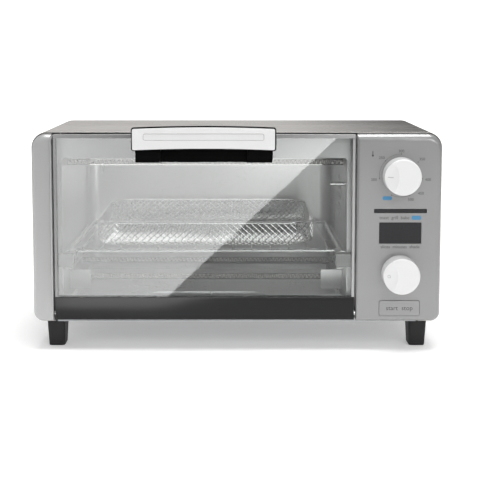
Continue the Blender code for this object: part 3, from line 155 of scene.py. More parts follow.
def roundedLoop(left, right, low, high, radii, steps=6):
    # four quarter circles set in from the corners by their own radius, from the lower left one round to the right
    turn = np.linspace(0, math.pi / 2, steps + 1)
    corners = (
        (left, low, 1, 1, math.pi), (right, low, -1, 1, 1.5 * math.pi),
        (right, high, -1, -1, 0), (left, high, 1, -1, 0.5 * math.pi),
    )
    arcs = [
        np.stack([x + sx * r + r * np.cos(start + turn), z + sz * r + r * np.sin(start + turn)], axis=1)
        for (x, z, sx, sz, start), r in zip(corners, np.maximum(radii, 0.00002))
    ]
    return np.concatenate(arcs)


def softProfile(front, back, radius, steps=4):
    # (inset, depth) pairs: a quarter circle round the front edge, a straight side, a quarter circle round the back edge
    turn = np.linspace(0, math.pi / 2, steps + 1)
    near = np.stack([radius * (1 - np.sin(turn)), front + radius * (1 - np.cos(turn))], axis=1)
    far = np.stack([radius * (1 - np.cos(turn)), back - radius * (1 - np.sin(turn))], axis=1)
    return np.concatenate([near, far])


planeAxes = {"XZ": (0, 2, 1), "XY": (0, 1, 2), "YZ": (1, 2, 0)}


def slab(name, plane, rect, radii, profile, steps=6, sharp=35):
    # a rounded rectangle carried along its profile, where each ring is set in and laid at its own depth
    left, right, low, high = rect
    radii = np.broadcast_to(np.asarray(radii, float), (4,))
    rings = []
    for inset, depth in profile:
        loop = roundedLoop(left + inset, right - inset, low + inset, high - inset, radii - inset, steps)
        ring = np.empty((len(loop), 3))
        u, v, w = planeAxes[plane]
        ring[:, u], ring[:, v], ring[:, w] = loop[:, 0], loop[:, 1], depth
        rings.append(ring)
    points = np.array(rings)
    rows, cols = points.shape[:2]
    return makePiece(name, points, gridFaces(rows, cols, closeCols=True), bothEnds(rows, cols), sharp)


def turned(name, profile, foot, axis, sides=48, sharp=35):
    # radius and height pairs swept round the axis: r cos t along one crosswise direction, r sin t along the other
    profile = np.asarray(profile, float)
    angle = np.linspace(0, 2 * math.pi, sides, endpoint=False)
    along = Vector(axis).normalized()
    side = along.orthogonal().normalized()
    other = along.cross(side)
    radial = np.cos(angle)[:, None] * np.array(side) + np.sin(angle)[:, None] * np.array(other)
    radius, height = profile[:, 0, None, None], profile[:, 1, None, None]
    points = np.array(foot) + radius * radial[None] + height * np.array(along)
    return makePiece(name, points, gridFaces(len(profile), sides, closeCols=True), sharp=sharp)


def tubes(name, paths, radius, sides=8, closed=False, across=(0, 0, 1), sharp=50):
    # circles of one radius square to each path's own direction, at every one of its points
    paths = np.asarray(paths, float)
    if closed:
        ahead = np.roll(paths, -1, axis=1) - np.roll(paths, 1, axis=1)
    else:
        ahead = np.gradient(paths, axis=1)
    ahead /= np.linalg.norm(ahead, axis=-1, keepdims=True)
    first = np.cross(ahead, np.array(across, float))
    first /= np.linalg.norm(first, axis=-1, keepdims=True)
    second = np.cross(ahead, first)
    angle = np.linspace(0, 2 * math.pi, sides, endpoint=False)
    ring = first[..., None, :] * np.cos(angle)[:, None] + second[..., None, :] * np.sin(angle)[:, None]
    points = paths[..., None, :] + radius * ring
    count, steps = paths.shape[:2]
    one = gridFaces(steps, sides, closeRows=closed, closeCols=True)
    offset = np.arange(count) * steps * sides
    faces = (one[None] + offset[:, None, None]).reshape(-1, 4)
    caps = []
    if not closed:
        starts = np.arange(sides)[None] + offset[:, None]
        caps = np.concatenate([starts, starts + (steps - 1) * sides]).tolist()
    return makePiece(name, points, faces, caps, sharp)


def refined(node, finish, slot, bevel=0.0, sharp=35):
    # the node's own shape, with its triangles merged and, where a bevel is given, its edges broken
    mesh = nodes[node].data.copy()
    shape = bmesh.new()
    shape.from_mesh(mesh)
    bmesh.ops.remove_doubles(shape, verts=shape.verts, dist=0.00001)
    bmesh.ops.dissolve_limit(shape, angle_limit=math.radians(0.5), verts=shape.verts, edges=shape.edges)
    shape.to_mesh(mesh)
    shape.free()
    mesh.shade_smooth()
    mesh.set_sharp_from_angle(angle=math.radians(sharp))
    piece = bpy.data.objects.new(node + "_looks", mesh)
    bpy.context.scene.collection.objects.link(piece)
    if bevel:
        softEdge(piece, bevel, 40)
    return dress(piece, nodes[node]["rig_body"], slot, finish, node)


def boxMiddle(node):
    low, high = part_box(node)
    return (low + high) / 2


# finishes

grainShare = 0.5  # how much of the mixed noise is grain, the rest being wear
roughSpread = 0.15  # how far the roughness strays either way


def setInputs(node, values):
    for name, value in values.items():
        node.inputs[name].default_value = value


def startFinish(name):
    look = bpy.data.materials.new(name)
    look.use_nodes = True
    return look, look.node_tree.nodes["Principled BSDF"]


def rangeNode(tree, source, start, end, low, high):
    # a value between start and end becomes one between low and high
    node = tree.nodes.new("ShaderNodeMapRange")
    setInputs(node, {"From Min": start, "From Max": end, "To Min": low, "To Max": high})
    tree.links.new(source, node.inputs["Value"])
    return node.outputs["Result"]


def makeFinish(name, look):
    # grain is one stretched noise, and wear a broad one: together they vary the colour, the roughness and a fine bump
    finish, shader = startFinish(name)
    tree = finish.node_tree
    setInputs(shader, {
        "Metallic": look.get("metal", 0.0),
        "Coat Weight": look.get("coat", 0.0),
        "Coat Roughness": 0.08,
        "Specular IOR Level": look.get("specular", 0.5),
        "Anisotropic": look.get("anisotropic", 0.0),
    })
    place = tree.nodes.new("ShaderNodeTexCoord")
    stretch = tree.nodes.new("ShaderNodeMapping")
    stretch.inputs["Scale"].default_value = look.get("stretch", (1, 1, 1))
    grain = tree.nodes.new("ShaderNodeTexNoise")
    setInputs(grain, {"Scale": look.get("grain", 900), "Detail": 4})
    wear = tree.nodes.new("ShaderNodeTexNoise")
    setInputs(wear, {"Scale": look.get("wear", 14), "Detail": 3})
    tree.links.new(place.outputs["Object"], stretch.inputs["Vector"])
    tree.links.new(stretch.outputs["Vector"], grain.inputs["Vector"])
    tree.links.new(place.outputs["Object"], wear.inputs["Vector"])
    both = tree.nodes.new("ShaderNodeMath")
    both.operation = "MULTIPLY_ADD"
    both.inputs[1].default_value = grainShare
    tree.links.new(grain.outputs["Fac"], both.inputs[0])
    half = tree.nodes.new("ShaderNodeMath")
    half.operation = "MULTIPLY"
    half.inputs[1].default_value = 1 - grainShare
    tree.links.new(wear.outputs["Fac"], half.inputs[0])
    tree.links.new(half.outputs[0], both.inputs[2])
    tone = tree.nodes.new("ShaderNodeValToRGB")
    spread = look.get("spread", 0.06)
    colour = np.broadcast_to(look["colour"], 3)  # one number stands for a grey
    tone.color_ramp.elements[0].position = 0.3
    tone.color_ramp.elements[1].position = 0.7
    tone.color_ramp.elements[0].color = (*(colour * (1 - spread)), 1)
    tone.color_ramp.elements[1].color = (*np.minimum(colour * (1 + spread), 1), 1)
    tree.links.new(both.outputs[0], tone.inputs["Fac"])
    tree.links.new(tone.outputs["Color"], shader.inputs["Base Color"])
    smooth, coarse = look["rough"] * (1 - roughSpread), look["rough"] * (1 + roughSpread)
    gloss = rangeNode(tree, both.outputs[0], 0.3, 0.7, smooth, coarse)
    tree.links.new(gloss, shader.inputs["Roughness"])
    bump = tree.nodes.new("ShaderNodeBump")
    setInputs(bump, {"Strength": look.get("bump", 0.1), "Distance": look.get("relief", 0.0002)})
    tree.links.new(grain.outputs["Fac"], bump.inputs["Height"])
    tree.links.new(bump.outputs["Normal"], shader.inputs["Normal"])
    return finish


def clearFinish(name, tint, solid, roughness, body=None):
    # see-through by a plain share, with a mirror share that grows towards the edges as on real glass
    finish, plain = startFinish(name)
    tree = finish.node_tree
    tree.nodes.remove(plain)
    output = tree.nodes["Material Output"]
    through = tree.nodes.new("ShaderNodeBsdfTransparent")
    through.inputs["Color"].default_value = (*tint, 1)
    inner = through
    if solid:
        cloud = tree.nodes.new("ShaderNodeBsdfPrincipled")
        setInputs(cloud, {"Base Color": (*body, 1), "Roughness": 0.45})
        inner = tree.nodes.new("ShaderNodeMixShader")
        inner.inputs["Fac"].default_value = solid
        tree.links.new(through.outputs[0], inner.inputs[1])
        tree.links.new(cloud.outputs[0], inner.inputs[2])
    mirror = tree.nodes.new("ShaderNodeBsdfAnisotropic")
    mirror.inputs["Roughness"].default_value = roughness
    edge = tree.nodes.new("ShaderNodeFresnel")
    edge.inputs["IOR"].default_value = 1.5
    mix = tree.nodes.new("ShaderNodeMixShader")
    tree.links.new(edge.outputs[0], mix.inputs["Fac"])
    tree.links.new(inner.outputs[0], mix.inputs[1])
    tree.links.new(mirror.outputs[0], mix.inputs[2])
    tree.links.new(mix.outputs[0], output.inputs["Surface"])
    return finish


finishLooks = {
    "wrapSteel": dict(colour=(0.46, 0.445, 0.43), metal=1.0, rough=0.28, grain=420, stretch=(0.03, 1, 1),
        spread=0.10, bump=0.10, anisotropic=0.4, relief=0.0001),
    "platedSteel": dict(colour=(0.38, 0.39, 0.40), metal=1.0, rough=0.38, grain=60, spread=0.12, bump=0.06, wear=30),
    "frameSteel": dict(colour=(0.52, 0.52, 0.515), metal=1.0, rough=0.34, grain=260, stretch=(1, 1, 0.04),
        spread=0.05, bump=0.06, wear=9),
    "hookSteel": dict(colour=(0.20, 0.20, 0.195), metal=1.0, rough=0.34, grain=260, stretch=(1, 1, 0.04),
        spread=0.05, bump=0.06, wear=9),
    "cavitySteel": dict(colour=(0.74, 0.74, 0.73), metal=1.0, rough=0.30, grain=260, stretch=(1, 1, 0.04),
        spread=0.05, bump=0.06, wear=9),
    "brightWire": dict(colour=(0.86, 0.86, 0.85), metal=1.0, rough=0.14, grain=500, spread=0.05, bump=0.05),
    # the bezel and the panel wear one silver paint: the bezel's colour is a lighter, painted-lit copy of it and the
    # panel's a darker, painted-shade copy
    "bezelPaint": dict(colour=0.44, coat=0.6, metal=0.45, rough=0.32, grain=1600, spread=0.05, bump=0.10,
        relief=0.00008),
    "panelPaint": dict(colour=0.27, coat=0.6, metal=0.45, rough=0.32, grain=1600, spread=0.05, bump=0.10,
        relief=0.00008),
    "trimPaint": dict(colour=0.40, metal=0.6, rough=0.36, grain=1200, spread=0.05, bump=0.06),
    "windowPlastic": dict(colour=(0.024, 0.024, 0.026), rough=0.12, grain=500, spread=0.15, bump=0.02, wear=30,
        specular=0.2),
    "railPlastic": dict(colour=0.012, rough=0.20, specular=0.2, grain=1400, spread=0.10, bump=0.14, relief=0.0001),
    "whitePlastic": dict(colour=0.68, rough=0.22, grain=1200, spread=0.015, bump=0.03, coat=0.25),
    "handleWhite": dict(colour=0.70, rough=0.25, grain=1200, spread=0.015, bump=0.03, coat=0.1),
    "blackPlastic": dict(colour=0.003, specular=0.05, rough=0.45, grain=1500, spread=0.15, bump=0.15, relief=0.0001),
    "footRubber": dict(colour=0.015, rough=0.62, grain=1800, spread=0.15, bump=0.30, relief=0.00015, specular=0.35),
    "boardGreen": dict(colour=(0.02, 0.12, 0.05), rough=0.40, grain=240, spread=0.30, bump=0.20),
    "motorSteel": dict(colour=(0.34, 0.34, 0.36), metal=1.0, rough=0.42, grain=400, spread=0.10, bump=0.10),
    "ceramic": dict(colour=(0.78, 0.76, 0.71), rough=0.55, grain=900, spread=0.06, bump=0.20),
    "heatWire": dict(colour=(0.16, 0.15, 0.14), metal=0.9, rough=0.40, grain=900, spread=0.15, bump=0.10),
    "inkDark": dict(colour=0.055, rough=0.60, grain=1500, spread=0.10, bump=0.03),
    "inkBlue": dict(colour=(0.055, 0.22, 0.40), rough=0.50, grain=1500, spread=0.08, bump=0.03),
    "inkGrey": dict(colour=0.36, rough=0.50, grain=1500, spread=0.08, bump=0.03),
}
finish = {name: makeFinish(name, look) for name, look in finishLooks.items()}
finish["doorGlass"] = clearFinish("doorGlass", (0.975, 0.985, 0.982), 0, 0.0)
finish["quartz"] = clearFinish("quartz", (0.95, 0.94, 0.92), 0.15, 0.08, (0.80, 0.79, 0.75))
print("finishes made:", len(finish))


# casing

wrapSettings = dict(
    topRadius=0.016, lowRadius=0.010, sheet=0.0008, flange=0.012, slots=8, slotHeight=0.0025, pitch=0.008,
    firstSlot=0.07704, slotStart=0.12412, slotLength=0.03638, steps=14, edge=0.00025,
)


def casing(s):
    # the outline of the folded sheet, taken straight back; rows at the slots' edges let whole quads drop out
    low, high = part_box("outer_wrap")
    half, bottom, top, depth = high.x, low.z, high.z, high.y - low.y
    turn = np.linspace(0, math.pi / 2, s["steps"] + 1)
    big, small = s["topRadius"], s["lowRadius"]
    slotFeet = s["firstSlot"] + s["pitch"] * np.arange(s["slots"])
    edges = np.sort(np.concatenate([slotFeet, slotFeet + s["slotHeight"]]))
    lower = np.stack([half - small + small * np.sin(turn), bottom + small - small * np.cos(turn)], axis=1)
    upper = np.stack([half - big + big * np.cos(turn), top - big + big * np.sin(turn)], axis=1)
    start = np.array([[half - s["flange"] - small, bottom]])
    right = np.concatenate([start, lower, np.stack([np.full(len(edges), half), edges], axis=1), upper])
    outline = np.concatenate([right, (right * (-1, 1))[::-1]])
    depths = np.array([0, s["slotStart"], s["slotStart"] + s["slotLength"], depth])
    x = np.broadcast_to(outline[:, None, 0], (len(outline), len(depths)))
    z = np.broadcast_to(outline[:, None, 1], (len(outline), len(depths)))
    points = np.stack([x, np.broadcast_to(faceY + depths, x.shape), z], axis=-1)
    faces = gridFaces(len(outline), len(depths))
    middle = points.reshape(-1, 3)[faces].mean(axis=1)
    inSlot = (middle[:, 1] > faceY + depths[1]) & (middle[:, 1] < faceY + depths[2])
    inSlot &= middle[:, 0] > half - 0.0001  # the right side only
    step = (middle[:, 2] - s["firstSlot"]) % s["pitch"]
    inSlot &= (step < s["slotHeight"]) & (middle[:, 2] > edges[0]) & (middle[:, 2] < edges[-1])
    piece = makePiece("outer_wrap_looks", points, faces[~inSlot], tidy=False)
    shape = bmesh.new()
    shape.from_mesh(piece.data)
    bmesh.ops.remove_doubles(shape, verts=shape.verts, dist=0.000001)
    shape.normal_update()
    shape.faces.ensure_lookup_table()
    topFace = max(shape.faces, key=lambda face: face.calc_center_median().z)
    if topFace.normal.z < 0:
        bmesh.ops.reverse_faces(shape, faces=shape.faces)
    shape.to_mesh(piece.data)
    shape.free()
    thickness = piece.modifiers.new("sheet", "SOLIDIFY")
    thickness.thickness = s["sheet"]
    thickness.offset = -1
    thickness.use_even_offset = True
    baked(piece)
    softEdge(piece, s["edge"], 50)
    return dress(piece, "root", "wrap_steel", finish["wrapSteel"], "outer_wrap")


casing(wrapSettings)

footSettings = dict(corner=0.0030, taperX=0.88, taperY=0.704, edge=0.0012, topEdge=0.0004)


def foot(node, s):
    # a rounded rectangle that narrows in a straight taper, with its lower edge rolled under
    low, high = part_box(node)
    middle = (low + high) / 2
    halfX, halfY = (high.x - low.x) / 2, (high.y - low.y) / 2
    turn = np.linspace(0, math.pi / 2, 5)
    height = np.concatenate([[high.z, high.z - s["topEdge"]], low.z + s["edge"] * (1 - np.sin(turn))])
    inset = np.concatenate([[s["topEdge"], 0], s["edge"] * (1 - np.cos(turn))])
    share = (high.z - height) / (high.z - low.z)
    rings = []
    for z, step, part in zip(height, inset, share):
        wide = halfX * (1 - part * (1 - s["taperX"])) - step
        deep = halfY * (1 - part * (1 - s["taperY"])) - step
        loop = roundedLoop(-wide, wide, -deep, deep, [max(s["corner"] - step, 0.0005)] * 4, 5)
        rings.append(np.column_stack([loop + (middle.x, middle.y), np.full(len(loop), z)]))
    points = np.array(rings)
    rows, cols = points.shape[:2]
    piece = makePiece(node + "_looks", points, gridFaces(rows, cols, closeCols=True), bothEnds(rows, cols))
    return dress(piece, "root", "foot_rubber", finish["footRubber"], node)


for node in ("foot_front_left", "foot_front_right", "foot_rear_left", "foot_rear_right"):
    foot(node, footSettings)


screwSettings = dict(
    radius=0.0034, height=0.0016, sunk=0.0003, cross=0.0022, slot=0.0006, depth=0.0008,
    plateDepth=0.2136, sideX=0.210, sideZ=0.046, sideDepths=(0.198, 0.020),
    rear=((-0.200, 0.050), (-0.200, 0.205), (0.150, 0.215), (0.198, 0.180), (0.198, 0.045), (-0.060, 0.2205)),
)


def panHead(name, spot, out, s):
    # a low dome, (r, h) on an ellipse, with a cross cut in it
    turn = np.linspace(0, math.pi / 2, 7)
    profile = np.stack([s["radius"] * np.sin(turn), s["height"] * np.cos(turn)], axis=1)
    profile = np.vstack([profile, [s["radius"], -s["sunk"]], [0, -s["sunk"]]])
    head = turned(name, profile, spot, out, 24)
    spot, out = np.array(spot), np.array(out, float)
    size = np.abs(out) * s["depth"] * 2
    tools = []
    for along in range(2):
        cross = [i for i in range(3) if abs(out[i]) < 0.5]
        box = size.copy()
        box[cross[along]] = 2 * s["cross"]
        box[cross[1 - along]] = s["slot"]
        low, high = spot + out * s["height"] - box / 2, spot + out * s["height"] + box / 2
        rect, depths = (low[0], high[0], low[2], high[2]), [(0, low[1]), (0, high[1])]
        tools.append(slab(f"{name}_cut{along}", "XZ", rect, 0, depths, 1))
    cutWith(head, *tools)
    return dress(head, "root", "plated_steel", finish["platedSteel"])


for number, (x, z) in enumerate(screwSettings["rear"]):
    panHead(f"rear_screw_{number}", (x, faceY + screwSettings["plateDepth"], z), (0, 1, 0), screwSettings)
for side, name in ((-1, "left"), (1, "right")):
    for number, depth in enumerate(screwSettings["sideDepths"]):
        spot = (side * screwSettings["sideX"], faceY + depth, screwSettings["sideZ"])
        panHead(f"side_screw_{name}_{number}", spot, (side, 0, 0), screwSettings)
print("casing done")


# front mouldings

mouldSettings = dict(
    topFillet=0.008, sideFillet=0.003, wall=0.0022, outerTop=0.0149, outerLow=0.0089, innerCorner=0.0004,
    rings=10, steps=12,
)


def moulding(name, node, outer, s):
    # rings of the outline, set in by r(1 - cos t) and brought forward by r sin t; r is larger along the top
    low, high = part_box(node)
    left, right = low.x, high.x
    tiny = s["innerCorner"]
    if outer < 0:
        radii = np.array([s["outerLow"], tiny, tiny, s["outerTop"]])
    else:
        radii = np.array([tiny, s["outerLow"], s["outerTop"], tiny])
    quarter = np.linspace(0, math.pi / 2, s["steps"] + 1)
    up = np.concatenate([np.zeros(2 * (s["steps"] + 1)), np.sin(quarter) ** 2, np.cos(quarter) ** 2])
    fillet = s["sideFillet"] + (s["topFillet"] - s["sideFillet"]) * up
    back = roundedLoop(left, right, low.z, high.z, radii, s["steps"])
    rings = [np.column_stack([back, np.full(len(up), high.y)])]
    for t in np.linspace(0, math.pi / 2, s["rings"] + 1):
        side, top = s["sideFillet"] * (1 - math.cos(t)), s["topFillet"] * (1 - math.cos(t))
        loop = roundedLoop(left + side, right - side, low.z + side, high.z - top, radii - side, s["steps"])
        rings.append(np.column_stack([loop, low.y + fillet * (1 - math.sin(t))]))
    points = np.array(rings)[..., [0, 2, 1]]
    rows, cols = points.shape[:2]
    piece = makePiece(name, points, gridFaces(rows, cols, closeCols=True), bothEnds(rows, cols)[1:])
    shell = piece.modifiers.new("shell", "SOLIDIFY")
    shell.thickness = s["wall"]
    shell.offset = -1
    baked(piece)
    return piece


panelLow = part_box("control_panel")[0]
panelFace = panelLow.y
dialX = boxMiddle("temperature_knob").x
pinSpot = boxMiddle("hinge_pin_right")
holeSettings = dict(pinRadius=0.004, windowGap=0.0003, lip=0.0011)


def plug(name, ahead, behind, spot, out):
    # a round cutter, from so far ahead of its spot to so far behind it
    radius = holeSettings["pinRadius"]
    return turned(name, [(0, ahead), (radius, ahead), (radius, -behind), (0, -behind)], spot, out, 24)


bezel = moulding("left_bezel_looks", "left_bezel", -1, mouldSettings)
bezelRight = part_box("left_bezel")[1].x
cutWith(bezel, plug("bezelNotch", 0.004, 0.005, (bezelRight, pinSpot.y, pinSpot.z), (1, 0, 0)))
# the bezel takes the lighter, painted-lit copy of the silver paint
dress(bezel, "root", "bezel_plastic", finish["bezelPaint"], "left_bezel")

panel = moulding("control_panel_looks", "control_panel", 1, mouldSettings)
tools = [plug("panelNotch", 0.005, 0.004, (panelLow.x, pinSpot.y, pinSpot.z), (1, 0, 0))]
for node in ("display_window", "indicator_window"):
    low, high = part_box(node)
    gap, lip = holeSettings["windowGap"], holeSettings["lip"]
    rect = (low.x - gap, high.x + gap, low.z - gap, high.z + gap)
    depths = [(0, panelFace - 0.001), (0, high.y + gap), (lip, high.y + gap), (lip, panelFace + 0.004)]
    tools.append(slab(node + "Pocket", "XZ", rect, 0.0005, depths, 3))
for node in ("temperature_knob", "time_knob"):
    tools.append(plug(node + "Hole", 0.001, 0.004, (dialX, panelFace, boxMiddle(node).z), (0, -1, 0)))
keyLow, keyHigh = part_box("start_button")
# the hole is narrower than the key's collar
keyRect = (keyLow.x + 0.0005, keyHigh.x - 0.0005, keyLow.z + 0.0005, keyHigh.z - 0.0005)
tools.append(slab("keyHole", "XZ", keyRect, 0.0023, [(0, panelFace - 0.001), (0, panelFace + 0.0035)], 5))
cutWith(panel, *tools)
# the panel takes the darker, painted-shade copy of the silver paint
dress(panel, "root", "panel_plastic", finish["panelPaint"], "control_panel")

for node in ("display_window", "indicator_window"):
    low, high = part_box(node)
    window = slab(node + "_looks", "XZ", (low.x, high.x, low.z, high.z), 0.0004, softProfile(low.y, high.y, 0.0002), 3)
    dress(window, "root", "window_plastic", finish["windowPlastic"], node)

keySettings = dict(margin=0.0008, corner=0.002, edge=0.0006, collar=0.0025, back=0.0037)


def startKey(s):
    # a cap with soft front edges and a wider collar behind the panel
    rect = (keyLow.x + s["margin"], keyHigh.x - s["margin"], keyLow.z + s["margin"], keyHigh.z - s["margin"])
    turn = np.linspace(0, math.pi / 2, 6)
    cap = np.stack([s["edge"] * (1 - np.sin(turn)), keyLow.y + s["edge"] * (1 - np.cos(turn))], axis=1)
    start, wide = panelFace + s["collar"], -s["margin"]
    profile = np.vstack([cap, [(0, start), (wide, start), (wide, panelFace + s["back"])]])
    key = slab("start_button_looks", "XZ", rect, s["corner"], profile, 6)
    # the key takes the panel's darker, painted-shade copy of the silver paint
    return dress(key, "start_key", "panel_plastic", finish["panelPaint"], "start_button")


startKey(keySettings)

knobSettings = dict(
    base=0.019, top=0.0184, edge=0.0015, wall=0.0018, crown=0.0068, boss=0.0055, bore=0.0023, boreDepth=0.0133,
    scoopRadius=0.060, scoopRim=0.026, scoopOffset=0.0303,
)


def knob(kind, s):
    # a turned shell with a rolled front edge; a large sphere takes the left of its face away
    node = kind + "_knob"
    low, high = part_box(node)
    middleZ, length = (low.z + high.z) / 2, high.y - low.y
    turn = np.linspace(math.pi / 2, 0, 9)
    rolled = np.stack([np.cos(turn), np.sin(turn)], axis=1)
    edge = (s["top"] - s["edge"], length - s["edge"]) + s["edge"] * rolled
    ceiling = length - s["crown"]
    inside = [
        (s["base"], 0.0002), (s["base"] - 0.0002, 0), (s["base"] - s["wall"], 0), (s["top"] - s["wall"], ceiling),
        (s["boss"], ceiling), (s["boss"], 0.001), (s["bore"], 0.001), (s["bore"], s["boreDepth"]), (0, s["boreDepth"]),
    ]
    piece = turned(node + "_looks", np.vstack([[(0, length)], edge, inside]), (dialX, high.y, middleZ), (0, -1, 0), 96)
    rise = math.sqrt(s["scoopRadius"] ** 2 - s["scoopRim"] ** 2)
    sweep = np.linspace(0, math.pi, 121)
    ball = np.stack([s["scoopRadius"] * np.sin(sweep), s["scoopRadius"] * np.cos(sweep)], axis=1)
    centre = (dialX - s["scoopOffset"], low.y - rise, middleZ)
    cutWith(piece, turned(node + "Scoop", ball, centre, (0, -1, 0), 180))
    dress(piece, kind + "_dial", "white_plastic", finish["whitePlastic"], node)
    return middleZ, centre


def scoopDepth(x, z, centre, radius, lift):
    # the sphere's far side, brought forward by a lift: y = yc + sqrt(r^2 - dx^2 - dz^2) - lift
    return centre[1] + np.sqrt(radius ** 2 - (x - centre[0]) ** 2 - (z - centre[2]) ** 2) - lift


def scoopPatch(name, x, z, centre, body, ink, lift=0.00008):
    # a thin closed skin over the scoop, whose two faces follow the same sphere
    radius = knobSettings["scoopRadius"]
    front = np.stack([x, scoopDepth(x, z, centre, radius, lift), z], axis=-1)
    back = np.stack([x, scoopDepth(x, z, centre, radius, -0.0001), z], axis=-1)
    layers = np.concatenate([front, back[::-1]])
    rows, cols = layers.shape[:2]
    piece = makePiece(name, layers, gridFaces(rows, cols, closeRows=True))
    fillHoles(piece)
    return dress(piece, body, "black_plastic", ink)


def fillHoles(piece):
    shape = bmesh.new()
    shape.from_mesh(piece.data)
    loose = [edge for edge in shape.edges if edge.is_boundary]
    if loose:
        bmesh.ops.holes_fill(shape, edges=loose, sides=0)
    bmesh.ops.recalc_face_normals(shape, faces=shape.faces)
    shape.to_mesh(piece.data)
    shape.free()


for kind in ("temperature", "time"):
    middleZ, centre = knob(kind, knobSettings)
    if kind == "temperature":
        u, v = np.meshgrid(np.linspace(dialX - 0.0155, dialX - 0.0100, 9), middleZ + np.array([-0.00035, 0.00035]))
        scoopPatch("temperature_pointer", u, v, centre, "temperature_dial", finish["inkGrey"])
    else:
        angle = np.linspace(0, 2 * math.pi, 33)
        rim = np.array([0.0012, 0.0016])[:, None]
        spot = dialX - 0.0130
        u, v = spot + rim * np.cos(angle), middleZ + rim * np.sin(angle)
        scoopPatch("time_mark", u, v, centre, "time_dial", finish["inkGrey"])
        u, v = np.meshgrid(spot + np.array([-0.00012, 0.00012]), middleZ + np.linspace(0, 0.0010, 3))
        scoopPatch("time_mark_hand", u, v, centre, "time_dial", finish["inkGrey"])
print("front mouldings done")


# dial print

printSettings = dict(thickness=0.00006, lift=0.00001, numberSize=0.0041, ring=0.0221, ringLine=0.00022)
printDepth = printSettings["lift"] + printSettings["thickness"]
printFront = panelFace - printDepth
printFoot = panelFace - printSettings["lift"]
pinhole = 0.00002  # inner radius of a dot


def printedText(name, words, x, z, size, body="root", face=None):
    letters = bpy.data.curves.new(name, "FONT")
    letters.body = words
    letters.size = size
    letters.align_x = "CENTER"
    letters.align_y = "CENTER"
    letters.resolution_u = 3
    letters.extrude = printSettings["thickness"] / 2
    holder = bpy.data.objects.new(name + "Letters", letters)
    bpy.context.scene.collection.objects.link(holder)
    mesh = solidMesh(holder)
    bpy.data.objects.remove(holder)
    count = len(mesh.vertices)
    flat = np.empty(count * 3)
    mesh.vertices.foreach_get("co", flat)
    flat = flat.reshape(-1, 3)
    front = printFront if face is None else face
    placed = np.stack([x + flat[:, 0], front + printSettings["thickness"] / 2 - flat[:, 2], z + flat[:, 1]], axis=1)
    mesh.vertices.foreach_set("co", placed.ravel())
    mesh.update()
    piece = bpy.data.objects.new(name, mesh)
    bpy.context.scene.collection.objects.link(piece)
    tidyMesh(mesh, 30)
    return dress(piece, body, "black_plastic", finish["inkDark"])


def ringPiece(name, x, z, inner, outer, start, end, ink, front=None, count=48):
    # a flat sector of a ring, closed all round: x = r sin t, z = r cos t for clock angles t
    front = printFront if front is None else front
    t = np.radians(np.linspace(start, end, count))
    back = front + printSettings["thickness"]
    section = np.array([(inner, front), (outer, front), (outer, back), (inner, back)])
    r, y = section[None, :, 0], section[None, :, 1]
    points = np.stack([x + r * np.sin(t)[:, None], np.broadcast_to(y, (count, 4)), z + r * np.cos(t)[:, None]], axis=-1)
    whole = abs(end - start) >= 360
    if whole:
        points = points[:-1]
    rows = len(points)
    caps = [] if whole else [[0, 1, 2, 3], [(rows - 1) * 4 + i for i in (3, 2, 1, 0)]]
    piece = makePiece(name, points, gridFaces(rows, 4, closeRows=whole, closeCols=True), caps, 30)
    return dress(piece, "root", "black_plastic", finish[ink])


dialZ = boxMiddle("temperature_knob").z
ring, half = printSettings["ring"], printSettings["ringLine"] / 2
for number, (start, end) in enumerate(((262, 360), (98, 205))):
    ringPiece(f"dial_arc_{number}", dialX, dialZ, ring - half, ring + half, start, end, "inkDark")
numbers = ((262, "200"), (313, "250"), (0, "300"), (51, "350"), (98, "400"), (131, "450"), (157, "500"), (205, ""))
for number, (angle, words) in enumerate(numbers):
    across, up = math.sin(math.radians(angle)), math.cos(math.radians(angle))
    x, z = dialX + ring * across, dialZ + ring * up
    ringPiece(f"dial_dot_{number}", x, z, pinhole, 0.00055, 0, 360, "inkDark", count=17)
    if words:
        # wide words stand further off at the sides
        far = ring + 0.0045 + 0.0013 * abs(across) - 0.0012 * (1 - abs(across))
        spot = (dialX + far * across, dialZ + far * up - 0.0004)
        printedText(f"dial_number_{words}", words, *spot, printSettings["numberSize"])


def pill(name, x, z, width, height):
    # a flat lozenge
    rect = (x - width / 2, x + width / 2, z - height / 2, z + height / 2)
    outline = slab(name, "XZ", rect, height / 2, [(0, printFront), (0, printFoot)], 8)
    dress(outline, "root", "black_plastic", finish["inkBlue"])


pill("dial_pill", dialX - 0.0137, dialZ - 0.0232, 0.0098, 0.0040)
displayLow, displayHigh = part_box("display_window")
labelZ = (displayHigh.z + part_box("indicator_window")[0].z) / 2
pill("function_pill", dialX + 0.0163, labelZ, 0.0100, 0.0042)
printedText("function_words", "toast  grill  bake", dialX - 0.0062, labelZ, 0.0047)
printedText("display_words", "slices  minutes  shade", dialX, displayLow.z - 0.0036, 0.0046)
printedText("key_word", "start  stop", dialX, (keyLow.z + keyHigh.z) / 2, 0.0066, "start_key", keyLow.y - printDepth)
# a small thermometer: a bulb with a stem
ringPiece("heat_bulb", dialX - 0.0290, dialZ + 0.0205, pinhole, 0.0011, 0, 360, "inkDark", count=25)
rect = (dialX - 0.0294, dialX - 0.0286, dialZ + 0.0205, dialZ + 0.0252)
stem = slab("heat_stem", "XZ", rect, 0.0004, [(0, printFront), (0, printFoot)], 4)
dress(stem, "root", "black_plastic", finish["inkDark"])
# four faint figures in the dark display
for number in range(4):
    x = dialX - 0.0135 + 0.0090 * number
    z = (displayLow.z + displayHigh.z) / 2
    ringPiece(f"display_segment_{number}", x, z, 0.0022, 0.00255, 0, 360, "windowPlastic", displayLow.y - 0.00007, 33)
print("dial print done")


# door

doorLow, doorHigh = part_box("door_glass")
rect = (doorLow.x, doorHigh.x, doorLow.z, doorHigh.z)
glass = slab("door_glass_looks", "XZ", rect, 0.0012, softProfile(doorLow.y, doorHigh.y, 0.0004, 3), 4)
dress(glass, "door", "door_glass", finish["doorGlass"], "door_glass")

